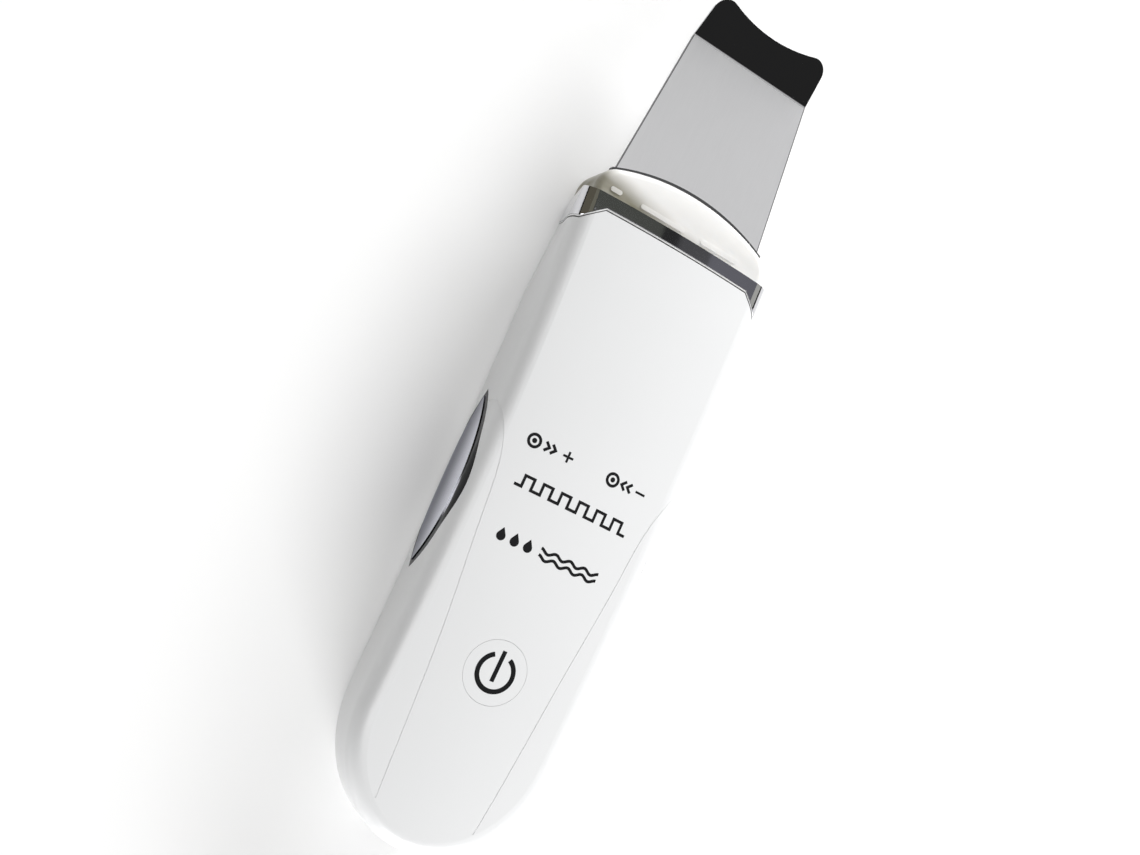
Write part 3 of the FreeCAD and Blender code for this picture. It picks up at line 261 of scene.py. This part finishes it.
# --- materials -------------------------------------------------------------------------------

CASING_WHITE = (0.78, 0.785, 0.79)
INK_BLACK = (0.004, 0.004, 0.005)

LEDGE_Y = 39.105 * MM          # lower edge of the collar on the middle line
LEDGE_CORNER_X = 17.8 * MM     # where that edge starts to slant towards the tail
LEDGE_SLOPE = 0.841
LEDGE_DROP = 3.7 * MM          # how much lower it lies round the sides
LEDGE_WIDTH = 0.42 * MM
# Painted reflection: the ledge is painted satin white where a chrome bevel would mirror the white
# casing.
LEDGE_PAINTED_GLINT = (0.86, 0.86, 0.86)
LEDGE_ROUGHNESS = 0.3
JOINT_WIDTH = 0.09 * MM
# Painted shadow of the gap between the collar and the casing.
JOINT_PAINTED_SHADOW = (0.10, 0.10, 0.10)
LEDGE_BLEND = 0.04 * MM        # width over which the ledge and the joint line fade out

COVER_WHITE = (0.86, 0.85, 0.83)
# Painted shade: warm grey by the collar, stronger towards the left, where the recess and the parts
# inside darken the cover.
COVER_PAINTED_SHADE = (0.16, 0.145, 0.085)
COVER_PAINTED_SHADE_START = -2.0 * MM   # from the collar on the middle line
COVER_PAINTED_SHADE_END = 3.9 * MM
COVER_PAINTED_SHADE_SLANT = 0.2         # widening of the painted shade towards the left
COVER_RIB_Z = 15.32 * MM       # above this, on the ribs' tops, the painted shade is weaker
COVER_RIB_SHARE = 0.4
COVER_RIB_BLEND = 0.06 * MM

BLADE_TIP_LENGTH = 9.1 * MM    # from the bend's line to the tip corners
BLADE_BEND_BLEND = 0.2 * MM    # half of the change from satin to polish at the bend
# Painted reflection: the polished tip is coloured darker to stand in for the dark room it mirrors.
BLADE_TIP_PAINTED_REFLECTION = (0.48, 0.48, 0.49)
BLADE_TIP_ROUGHNESS = 0.08
BLADE_TAPER = 0.0995           # change of half width along the blade
BLADE_SIDE = 23.45 * MM        # half width plus taper times y, all along the side
BLADE_GROUND = 0.2 * MM        # width of the ground edge
BLADE_GROUND_DARK = (0.16, 0.16, 0.165)
BLADE_GROUND_BLEND = 0.05 * MM

# Painted shade: the plate's lower part is coloured darker, standing in for the shadowed table it
# mirrors.
PLATE_PAINTED_SHADE = (0.13, 0.135, 0.18)
PLATE_PAINTED_SHADE_Z = 2.0 * MM       # how far above its lowest point the painted shade is strongest


def casing_white():
    """Semi-gloss white moulding."""
    return moulded("casing_white", CASING_WHITE, 0.3, vary=0.012)


def smoked_chrome():
    """Smoked plating. Along its lower edge, a painted reflection of the white casing on the ledge
    and a painted shadow of the gap on the joint line.
    """
    surface = Surface("smoked_chrome", 0.06)
    surface.colours(surface.noise(60.0), (0.60, 0.60, 0.62), (0.64, 0.64, 0.66))
    beyond = surface.math("SUBTRACT", surface.math("ABSOLUTE", surface.axis("X")), LEDGE_CORNER_X)
    slant = surface.math("MULTIPLY", surface.math("MAXIMUM", beyond, 0.0), LEDGE_SLOPE)
    drop = surface.math("MINIMUM", slant, LEDGE_DROP)
    above = surface.math("ADD", surface.axis("Y"), drop)
    ledge_top = LEDGE_Y + LEDGE_WIDTH
    joint_top = LEDGE_Y + JOINT_WIDTH
    ledge = surface.ranged(above, 1.0, 0.0, ledge_top, ledge_top + LEDGE_BLEND)
    joint = surface.ranged(above, 1.0, 0.0, joint_top, joint_top + LEDGE_BLEND)
    # Painted reflection of the white casing on the ledge, which is made not metallic, and painted
    # gap shadow on the joint line.
    surface.stained(ledge, LEDGE_PAINTED_GLINT)
    surface.stained(joint, JOINT_PAINTED_SHADOW)
    surface.link(surface.math("SUBTRACT", 1.0, ledge), surface.shader.inputs["Metallic"])
    haze = surface.ranged(surface.noise(240.0, 3.0, seed=3.0), 0.045, 0.075)
    satin = surface.math("MULTIPLY", ledge, LEDGE_ROUGHNESS)
    surface.link(surface.math("MAXIMUM", haze, satin), surface.shader.inputs["Roughness"])
    surface.bump(surface.noise(350.0, 2.0, seed=7.0), 0.002 * MM, 0.4)
    return surface.material


def frosted_cover():
    """Milky moulding, with painted shade in a warm grey by the collar, where the recess and the
    clamp and gasket inside darken it, stronger towards the left.
    """
    surface = Surface("frosted_cover", 0.42, 0.0, Subsurface_Weight=0.25, Subsurface_Scale=0.002)
    surface.shader.inputs["Subsurface Radius"].default_value = (1.0, 0.9, 0.8)
    surface.colours(surface.noise(45.0), shade(COVER_WHITE, 0.98), shade(COVER_WHITE, 1.01))
    collar_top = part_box("chrome_collar")[1].y
    slant = surface.math("MULTIPLY", surface.axis("X"), COVER_PAINTED_SHADE_SLANT)
    slanted = surface.math("ADD", surface.axis("Y"), slant)
    band = surface.fade(slanted, collar_top + COVER_PAINTED_SHADE_END, collar_top + COVER_PAINTED_SHADE_START)
    ribs = surface.fade(surface.axis("Z"), COVER_RIB_Z + COVER_RIB_BLEND, COVER_RIB_Z,
                        COVER_RIB_SHARE)
    clouds = surface.ranged(surface.noise(260.0, 2.0, (0.5, 1, 1), 4.0), 0.7, 1.0)
    mask = surface.math("MULTIPLY", surface.math("MULTIPLY", band, ribs), clouds)
    # Painted shade by the collar, cloudy and weaker on the ribs' tops.
    surface.stained(mask, COVER_PAINTED_SHADE)
    surface.rough(surface.noise(220.0, 5.0, seed=2.0), 0.38, 0.46)
    surface.bump(surface.noise(3200.0, 2.0, seed=5.0), 0.004 * MM, 0.6)
    return surface.material


def blade_steel():
    """Satin sheet with lines along its length, dark ground edges and a polished bent tip, coloured
    darker as a painted reflection of the dark room.
    """
    surface = Surface("blade_steel", 0.3, 1.0)
    along = surface.axis("Y")
    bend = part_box("blade")[1].y - BLADE_TIP_LENGTH
    polish_and_painted_reflection = surface.ranged(along, 0.0, 1.0, bend - BLADE_BEND_BLEND, bend + BLADE_BEND_BLEND)
    slant = surface.math("MULTIPLY", along, BLADE_TAPER)
    out = surface.math("ADD", surface.math("ABSOLUTE", surface.axis("X")), slant)
    border = BLADE_SIDE - BLADE_GROUND
    ground = surface.ranged(out, 0.0, 1.0, border - BLADE_GROUND_BLEND,
                            border + BLADE_GROUND_BLEND)
    lines = surface.noise(700.0, 3.0, (10, 0.35, 10), 1.0)
    surface.colours(lines, (0.82, 0.82, 0.83), (0.84, 0.84, 0.85))
    surface.stained(ground, BLADE_GROUND_DARK)
    # Painted reflection: the polished tip coloured darker than the satin sheet.
    surface.stained(polish_and_painted_reflection, BLADE_TIP_PAINTED_REFLECTION)
    satin = surface.ranged(lines, 0.30, 0.33)
    mix = surface.add("ShaderNodeMix", data_type="FLOAT")
    surface.link(polish_and_painted_reflection, mix.inputs["Factor"])
    surface.link(satin, mix.inputs["A"])
    mix.inputs["B"].default_value = BLADE_TIP_ROUGHNESS
    surface.link(mix.outputs["Result"], surface.shader.inputs["Roughness"])
    surface.bump(lines, 0.0004 * MM, 0.2)
    return surface.material


def electrode_plate():
    """Bright lilac plating, with painted shade that darkens it towards the rear of the device,
    where it mirrors the shadowed table.
    """
    surface = Surface("electrode_plate", 0.16, 1.0)
    surface.colours(surface.noise(60.0), (0.87, 0.88, 0.97), (0.90, 0.91, 1.0))
    low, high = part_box("left_electrode")
    # Painted shade, darker towards the plate's lowest point.
    surface.stained(surface.fade(surface.axis("Z"), high.z, low.z + PLATE_PAINTED_SHADE_Z), PLATE_PAINTED_SHADE)
    surface.rough(surface.noise(240.0, 3.0, seed=3.0), 0.12, 0.2)
    surface.bump(surface.noise(350.0, 2.0, seed=7.0), 0.002 * MM, 0.4)
    return surface.material


def mark_ink():
    """Printed ink with slightly ragged density."""
    return moulded("mark_ink", INK_BLACK, 0.55, grain=2600.0, vary=0.3, Specular_IOR_Level=0.2)


def board_mask():
    """Green solder mask over copper tracks."""
    surface = Surface("board_green", 0.35)
    tracks = surface.add("ShaderNodeTexBrick")
    tracks.inputs["Scale"].default_value = 260.0
    tracks.inputs["Mortar Size"].default_value = 0.12
    surface.link(surface.place, tracks.inputs["Vector"])
    surface.colours(tracks.outputs["Fac"], (0.045, 0.24, 0.11), (0.07, 0.33, 0.17), 0.2, 0.8)
    surface.bump(tracks.outputs["Fac"], 0.02 * MM, 0.5)
    return surface.material


def wound_copper():
    """Enamelled wire laid side by side."""
    surface = Surface("copper_winding", 0.3, 1.0)
    turns = surface.add("ShaderNodeTexWave", bands_direction="X")
    turns.inputs["Scale"].default_value = 900.0
    surface.link(surface.place, turns.inputs["Vector"])
    surface.colours(turns.outputs["Fac"], (0.42, 0.17, 0.07), (0.78, 0.42, 0.24), 0.1, 0.8)
    surface.bump(turns.outputs["Fac"], 0.1 * MM, 0.8)
    return surface.material


def open_foam():
    """Foam with small open cells."""
    surface = Surface("foam_black", 0.9)
    cells = surface.add("ShaderNodeTexVoronoi")
    cells.inputs["Scale"].default_value = 1500.0
    surface.link(surface.place, cells.inputs["Vector"])
    surface.colours(cells.outputs["Distance"], (0.02, 0.02, 0.02), (0.12, 0.12, 0.12), 0.1, 0.6)
    surface.bump(cells.outputs["Distance"], 0.2 * MM, 1.0)
    return surface.material


def make_materials():
    """One material for each of the record's slots."""
    return {
        "casing_white": casing_white(),
        "smoked_chrome": smoked_chrome(),
        "frosted_cover": frosted_cover(),
        "blade_steel": blade_steel(),
        "seal_dark": moulded("seal_dark", (0.035, 0.035, 0.038), 0.5, 1500.0, vary=0.1),
        "electrode_plate": electrode_plate(),
        "bezel_black": moulded("bezel_black", INK_BLACK, 0.12, vary=0.1, Specular_IOR_Level=0.2),
        "silicone_clear": moulded("silicone_clear", (0.80, 0.80, 0.79), 0.5, 1500.0,
                                  Subsurface_Weight=0.3, Subsurface_Scale=0.001),
        "board_green": board_mask(),
        "chip_black": moulded("chip_black", (0.03, 0.03, 0.033), 0.55, 2500.0, 0.01 * MM, 0.1),
        "capacitor_can": rolled("capacitor_can", (0.75, 0.76, 0.78), 0.3, (1, 1, 8)),
        "ferrite_grey": moulded("ferrite_grey", (0.13, 0.13, 0.14), 0.6, 1800.0, 0.02 * MM, 0.15),
        "copper_winding": wound_copper(),
        "spring_bronze": rolled("spring_bronze", (0.78, 0.62, 0.38), 0.28),
        "screw_steel": rolled("screw_steel", (0.58, 0.58, 0.60), 0.35, (1, 1, 6)),
        "cell_film": rolled("cell_film", (0.55, 0.60, 0.66), 0.4, (2, 1, 2)),
        "foam_black": open_foam(),
        "lead_insulation": moulded("lead_insulation", (0.50, 0.03, 0.03), 0.4, 1200.0, vary=0.06),
        "clear_acrylic": moulded("clear_acrylic", (0.92, 0.95, 0.96), 0.08, 500.0,
                                 Transmission_Weight=0.85, IOR=1.49),
        "lamp_amber": moulded("lamp_amber", (0.92, 0.82, 0.42), 0.25, 900.0, vary=0.05),
        "abs_inner": moulded("abs_inner", (0.78, 0.78, 0.76), 0.5, 1100.0, 0.012 * MM, 0.03),
        "piezo_ceramic": moulded("piezo_ceramic", (0.74, 0.71, 0.64), 0.6, 2200.0, 0.015 * MM,
                                 0.05),
        "socket_steel": rolled("socket_steel", (0.70, 0.70, 0.72), 0.22),
    }


def finish_nodes(materials):
    """Every CAD node takes the material of its slot in the record."""
    for part in frame["record"]["subparts"]:
        mesh = nodes[part["node"]].data
        mesh.materials.clear()
        mesh.materials.append(materials[part["material_slot"]])


# --- return bellows --------------------------------------------------------------------------


def add_bellows():
    """Silicone bellows under the button: a copy of the return ring's mesh, riding on the housing.
    """
    ring = nodes["button_return_ring"]
    bellows = bpy.data.objects.new("return_bellows", ring.data.copy())
    scene.collection.objects.link(bellows)
    bellows.matrix_world = ring.matrix_world
    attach(bellows, "housing")
    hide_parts("button_return_ring")
    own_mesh(bellows)


# --- printed marks ---------------------------------------------------------------------------

RAY_START = 1 * MM             # above the whole model


def height_finder(*names):
    """Function that gives the height of the front surface of these nodes at x, y."""
    trees = []
    for name in names:
        mesh = nodes[name].data
        points = [v.co.copy() for v in mesh.vertices]
        trees.append(BVHTree.FromPolygons(points, [list(p.vertices) for p in mesh.polygons]))
    top = cad_box[1][2] + RAY_START

    def height(x, y):
        hits = [tree.ray_cast(Vector((x, y, top)), Vector((0, 0, -1)))[0] for tree in trees]
        return max(hit.z for hit in hits if hit is not None)

    return height


def densified(points, closed):
    """The same line with no segment longer than PRINT_STEP."""
    dense = []
    pairs = list(zip(points, points[1:] + points[:1])) if closed else list(zip(points, points[1:]))
    for a, b in pairs:
        count = max(1, math.ceil((b - a).length / PRINT_STEP))
        dense += [a.lerp(b, step / count) for step in range(count)]
    return dense if closed else dense + [points[-1]]


class Print:
    """Thin raised ink that follows the surface under it."""

    def __init__(self, name, centre, height):
        self.name = name
        self.centre = centre
        self.height = height
        self.mesh = bmesh.new()

    def column(self, point):
        """Upper and lower vertex at one place of the outline."""
        x = self.centre.x + point.x
        y = self.centre.y + point.y
        z = self.height(x, y)
        upper = self.mesh.verts.new((x, y, z + PRINT_LIFT))
        lower = self.mesh.verts.new((x, y, z - PRINT_SINK))
        return (upper, lower)

    def line(self, points, width=MARK_STROKE, closed=False):
        """Stroke of constant width, mitred at its corners."""
        points = densified([Vector(p) for p in points], closed)
        count = len(points)
        left, right = [], []
        for index, point in enumerate(points):
            before = points[index - 1] if index or closed else point
            after = points[(index + 1) % count] if index + 1 < count or closed else point
            enter = (point - before).normalized() if (point - before).length else None
            leave = (after - point).normalized() if (after - point).length else None
            enter = enter or leave
            leave = leave or enter
            across = Vector((-(enter.y + leave.y), enter.x + leave.x)).normalized()
            reach = width / 2 / max(0.5, across.dot(Vector((-enter.y, enter.x))))
            left.append(self.column(point + across * reach))
            right.append(self.column(point - across * reach))
        spans = range(count if closed else count - 1)
        for index in spans:
            a, b = index, (index + 1) % count
            self.mesh.faces.new((left[a][0], right[a][0], right[b][0], left[b][0]))
            self.mesh.faces.new((left[a][1], left[b][1], right[b][1], right[a][1]))
            self.mesh.faces.new((left[a][0], left[b][0], left[b][1], left[a][1]))
            self.mesh.faces.new((right[a][0], right[a][1], right[b][1], right[b][0]))
        if not closed:
            for end, flip in ((0, False), (count - 1, True)):
                corners = (left[end][0], left[end][1], right[end][1], right[end][0])
                self.mesh.faces.new(corners[::-1] if flip else corners)

    def spot(self, outline):
        """Filled shape round its own centre."""
        outline = [Vector(p) for p in outline]
        middle = sum(outline, Vector((0, 0))) / len(outline)
        top, bottom = self.column(middle)
        rim = [self.column(point) for point in outline]
        for a, b in zip(rim, rim[1:] + rim[:1]):
            self.mesh.faces.new((top, a[0], b[0]))
            self.mesh.faces.new((bottom, b[1], a[1]))
            self.mesh.faces.new((a[0], a[1], b[1], b[0]))

    def piece(self, body, ink):
        """The finished object, riding on its body."""
        bmesh.ops.recalc_face_normals(self.mesh, faces=self.mesh.faces)
        mesh = bpy.data.meshes.new(self.name)
        self.mesh.to_mesh(mesh)
        self.mesh.free()
        mesh.materials.append(ink)
        piece = bpy.data.objects.new(self.name, mesh)
        scene.collection.objects.link(piece)
        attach(piece, body)
        return piece


def arc_points(x, y, radius, start, end, count):
    """Points on an arc, angles from +Y, clockwise."""
    angles = [start + (end - start) * step / count for step in range(count + 1)]
    return [(x + radius * math.sin(a), y + radius * math.cos(a)) for a in angles]


def ring_points(x, y, radius, count=48):
    """Points of a whole circle."""
    return arc_points(x, y, radius, 0, 2 * math.pi * (count - 1) / count, count - 1)


def standby_mark(centre, height, ink):
    """Open ring with a bar through its gap, on the button."""
    mark = Print("standby_mark", centre, height)
    ring = arc_points(0, 0, STANDBY_R, STANDBY_GAP, 2 * math.pi - STANDBY_GAP, STANDBY_STEPS)
    mark.line(ring, STANDBY_STROKE)
    mark.line([(0, STANDBY_BAR[0]), (0, STANDBY_BAR[1])], STANDBY_BAR_WIDTH)
    return mark.piece("power_button", ink)


def ion_mark(name, centre, height, ink, places, sign):
    """Ion in its shell, two chevrons and a plus or minus sign."""
    ion_x, chevron_x, sign_x = places
    mark = Print(name, centre, height)
    mark.line(ring_points(ion_x, ION_Y, ION_R), closed=True)
    mark.spot(ring_points(ion_x, ION_Y, ION_CORE_R, 20))
    for offset in (-CHEVRON_OFFSET, CHEVRON_OFFSET):
        x = chevron_x + offset
        mark.line([(x - sign * CHEVRON / 2, ION_Y + CHEVRON), (x + sign * CHEVRON / 2, ION_Y),
                   (x - sign * CHEVRON / 2, ION_Y - CHEVRON)])
    mark.line([(sign_x - SIGN_HALF, ION_Y), (sign_x + SIGN_HALF, ION_Y)], SIGN_STROKE)
    if sign > 0:
        for side in (-1, 1):
            mark.line([(sign_x, ION_Y + side * SIGN_STROKE / 2),
                       (sign_x, ION_Y + side * SIGN_HALF)], SIGN_STROKE)
    return mark.piece("housing", ink)


def pulse_mark(centre, height, ink):
    """Train of square pulses between two level runs."""
    x0, x1 = PULSE_X
    pitch = (x1 - x0 - 2 * PULSE_RUN) / (PULSE_COUNT - 0.5)
    low, high = PULSE_Y - PULSE_HALF, PULSE_Y + PULSE_HALF
    points = [(x0, low)]
    for pulse in range(PULSE_COUNT):
        start = x0 + PULSE_RUN + pitch * pulse
        points += [(start, low), (start, high), (start + pitch / 2, high), (start + pitch / 2, low)]
    points.append((x1, low))
    mark = Print("pulse_mark", centre, height)
    mark.line(points)
    return mark.piece("housing", ink)


def deep_mark(centre, height, ink):
    """Three drops and two ripples."""
    mark = Print("deep_mark", centre, height)
    base = DEEP_Y - DROP_R * DROP_SINK
    for x in DROPS_X:
        tip = (x, base + DROP_R * DROP_TIP)
        mark.spot([tip] + arc_points(x, base, DROP_R, DROP_FLANK, 2 * math.pi - DROP_FLANK,
                                     DROP_STEPS))
    x0, x1 = RIPPLE_X
    for level in RIPPLE_LEVELS:
        points = []
        for step in range(RIPPLE_STEPS + 1):
            share = step / RIPPLE_STEPS
            swing = RIPPLE_SWING / 2 * math.cos(2 * math.pi * RIPPLE_WAVES * share)
            points.append((x0 + (x1 - x0) * share, DEEP_Y + level + swing))
        mark.line(points)
    return mark.piece("housing", ink)


def add_marks():
    """All prints, placed from the power button's box."""
    low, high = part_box("power_button")
    centre = (low + high) / 2
    ink = mark_ink()
    on_face = height_finder("front_casing", "power_button")
    on_button = height_finder("power_button")
    standby_mark(centre, on_button, ink)
    ion_mark("ion_plus_mark", centre, on_face, ink, ION_PLUS_X, 1)
    ion_mark("ion_minus_mark", centre, on_face, ink, ION_MINUS_X, -1)
    pulse_mark(centre, on_face, ink)
    deep_mark(centre, on_face, ink)


# --- studio ----------------------------------------------------------------------------------

FLOOR_HALF = 3.0
FLOOR_COLOUR = (0.90, 0.90, 0.90)
FLOOR_GLOW = 0.09              # the floor is a dim light table
FLOOR_GAP = 0.02 * MM          # under the device
ROOM_LEVEL = 0.03              # dark room for the plating to mirror
BACKDROP_LEVEL = 0.92          # what the camera sees past the floor

WHITE_LIGHT = (1.0, 1.0, 1.0)
# Soft boxes light the device; the dimmer cards are there for the plating and steel to mirror.
SOFT_BOXES = {                 # centre, aim, width, height in metres, power in watts, colour
    "overhead_box": ((0.60, 0.40, 1.80), (0.60, 0.40, 0.0), 2.10, 1.20, 5.0, WHITE_LIGHT),
    "upper_left_box": ((-0.75, -0.50, 1.80), (0.0, 0.0, 0.0), 1.00, 1.20, 15.4, WHITE_LIGHT),
    "tail_box": ((0.35, -0.90, 0.28), (0.05, 0.0, 0.0), 0.60, 0.40, 9.9, WHITE_LIGHT),
    "head_box": ((0.45, 0.90, 0.35), (0.0, 0.0, 0.0), 0.90, 0.40, 15.0, WHITE_LIGHT),
    "olive_card": ((-0.45, 1.22, 1.80), (-0.45, 1.22, 0.0), 2.10, 0.40, 0.17, (0.93, 1.0, 0.83)),
    "grey_card": ((0.89, 1.22, 1.80), (0.89, 1.22, 0.0), 0.33, 0.40, 0.030, (0.95, 0.95, 1.0)),
    "slate_card": ((1.38, 1.22, 1.80), (1.38, 1.22, 0.0), 0.65, 0.40, 0.14, (0.87, 0.87, 1.0)),
    "right_card": ((1.60, 0.95, 0.85), (0.0, 0.04, 0.0), 0.90, 0.90, 1.3, (1.0, 1.0, 0.93)),
    "left_card": ((-0.90, 0.50, 0.70), (0.0, 0.05, 0.0), 0.80, 1.30, 0.33, (1.0, 0.9, 0.6)),
}


def add_floor():
    """Pale table under the device, glowing a little."""
    surface = Surface("table", 0.6, Emission_Strength=FLOOR_GLOW)
    surface.shader.inputs["Emission Color"].default_value = (1, 1, 1, 1)
    surface.colours(surface.noise(3.0), shade(FLOOR_COLOUR, 0.99), FLOOR_COLOUR)
    mesh = bpy.data.meshes.new("floor")
    z = cad_box[0][2] - FLOOR_GAP
    corners = [(-FLOOR_HALF, -FLOOR_HALF, z), (FLOOR_HALF, -FLOOR_HALF, z),
               (FLOOR_HALF, FLOOR_HALF, z), (-FLOOR_HALF, FLOOR_HALF, z)]
    mesh.from_pydata(corners, [], [(0, 1, 2, 3)])
    mesh.materials.append(surface.material)
    floor = bpy.data.objects.new("floor", mesh)
    scene.collection.objects.link(floor)


def add_lights():
    """Soft boxes and cards round the table."""
    for name, (centre, aim, width, height, power, colour) in SOFT_BOXES.items():
        data = bpy.data.lights.new(name, "AREA")
        data.shape = "RECTANGLE"
        data.size = width
        data.size_y = height
        data.energy = power
        data.color = colour
        light = bpy.data.objects.new(name, data)
        light.location = centre
        light.rotation_euler = (Vector(aim) - Vector(centre)).to_track_quat("-Z", "Y").to_euler()
        scene.collection.objects.link(light)


def add_world():
    """Dark room that the camera sees as a pale backdrop."""
    world = bpy.data.worlds.new("studio")
    world.use_nodes = True
    tree = world.node_tree
    path = tree.nodes.new("ShaderNodeLightPath")
    mix = tree.nodes.new("ShaderNodeMix")
    mix.data_type = "FLOAT"
    tree.links.new(path.outputs["Is Camera Ray"], mix.inputs["Factor"])
    mix.inputs["A"].default_value = ROOM_LEVEL
    mix.inputs["B"].default_value = BACKDROP_LEVEL
    tree.links.new(mix.outputs["Result"], tree.nodes["Background"].inputs["Color"])
    scene.world = world


def add_camera():
    """Camera looking down at the front face from the device's left, turned on its side."""
    azimuth = math.radians(CAMERA_AZIMUTH)
    elevation = math.radians(CAMERA_ELEVATION)
    back = Vector((math.sin(azimuth) * math.cos(elevation),
                   -math.cos(azimuth) * math.cos(elevation), math.sin(elevation)))
    level = Vector((math.cos(azimuth), math.sin(azimuth), 0))
    turn = Matrix.Rotation(math.radians(CAMERA_ROLL), 3, back)
    right = turn @ level
    up = turn @ back.cross(level)
    data = bpy.data.cameras.new("camera")
    data.lens = CAMERA_LENS
    data.sensor_width = CAMERA_SENSOR
    data.clip_start = 0.01
    camera = bpy.data.objects.new("camera", data)
    rotation = Matrix((right, up, back)).transposed()
    place = Matrix.Translation(CAMERA_TARGET + back * CAMERA_DISTANCE)
    camera.matrix_world = place @ rotation.to_4x4()
    scene.collection.objects.link(camera)
    scene.camera = camera


# --- build -----------------------------------------------------------------------------------

finish_nodes(make_materials())
add_bellows()
add_marks()
add_floor()
add_world()
add_lights()
add_camera()
scene.view_settings.view_transform = "Standard"
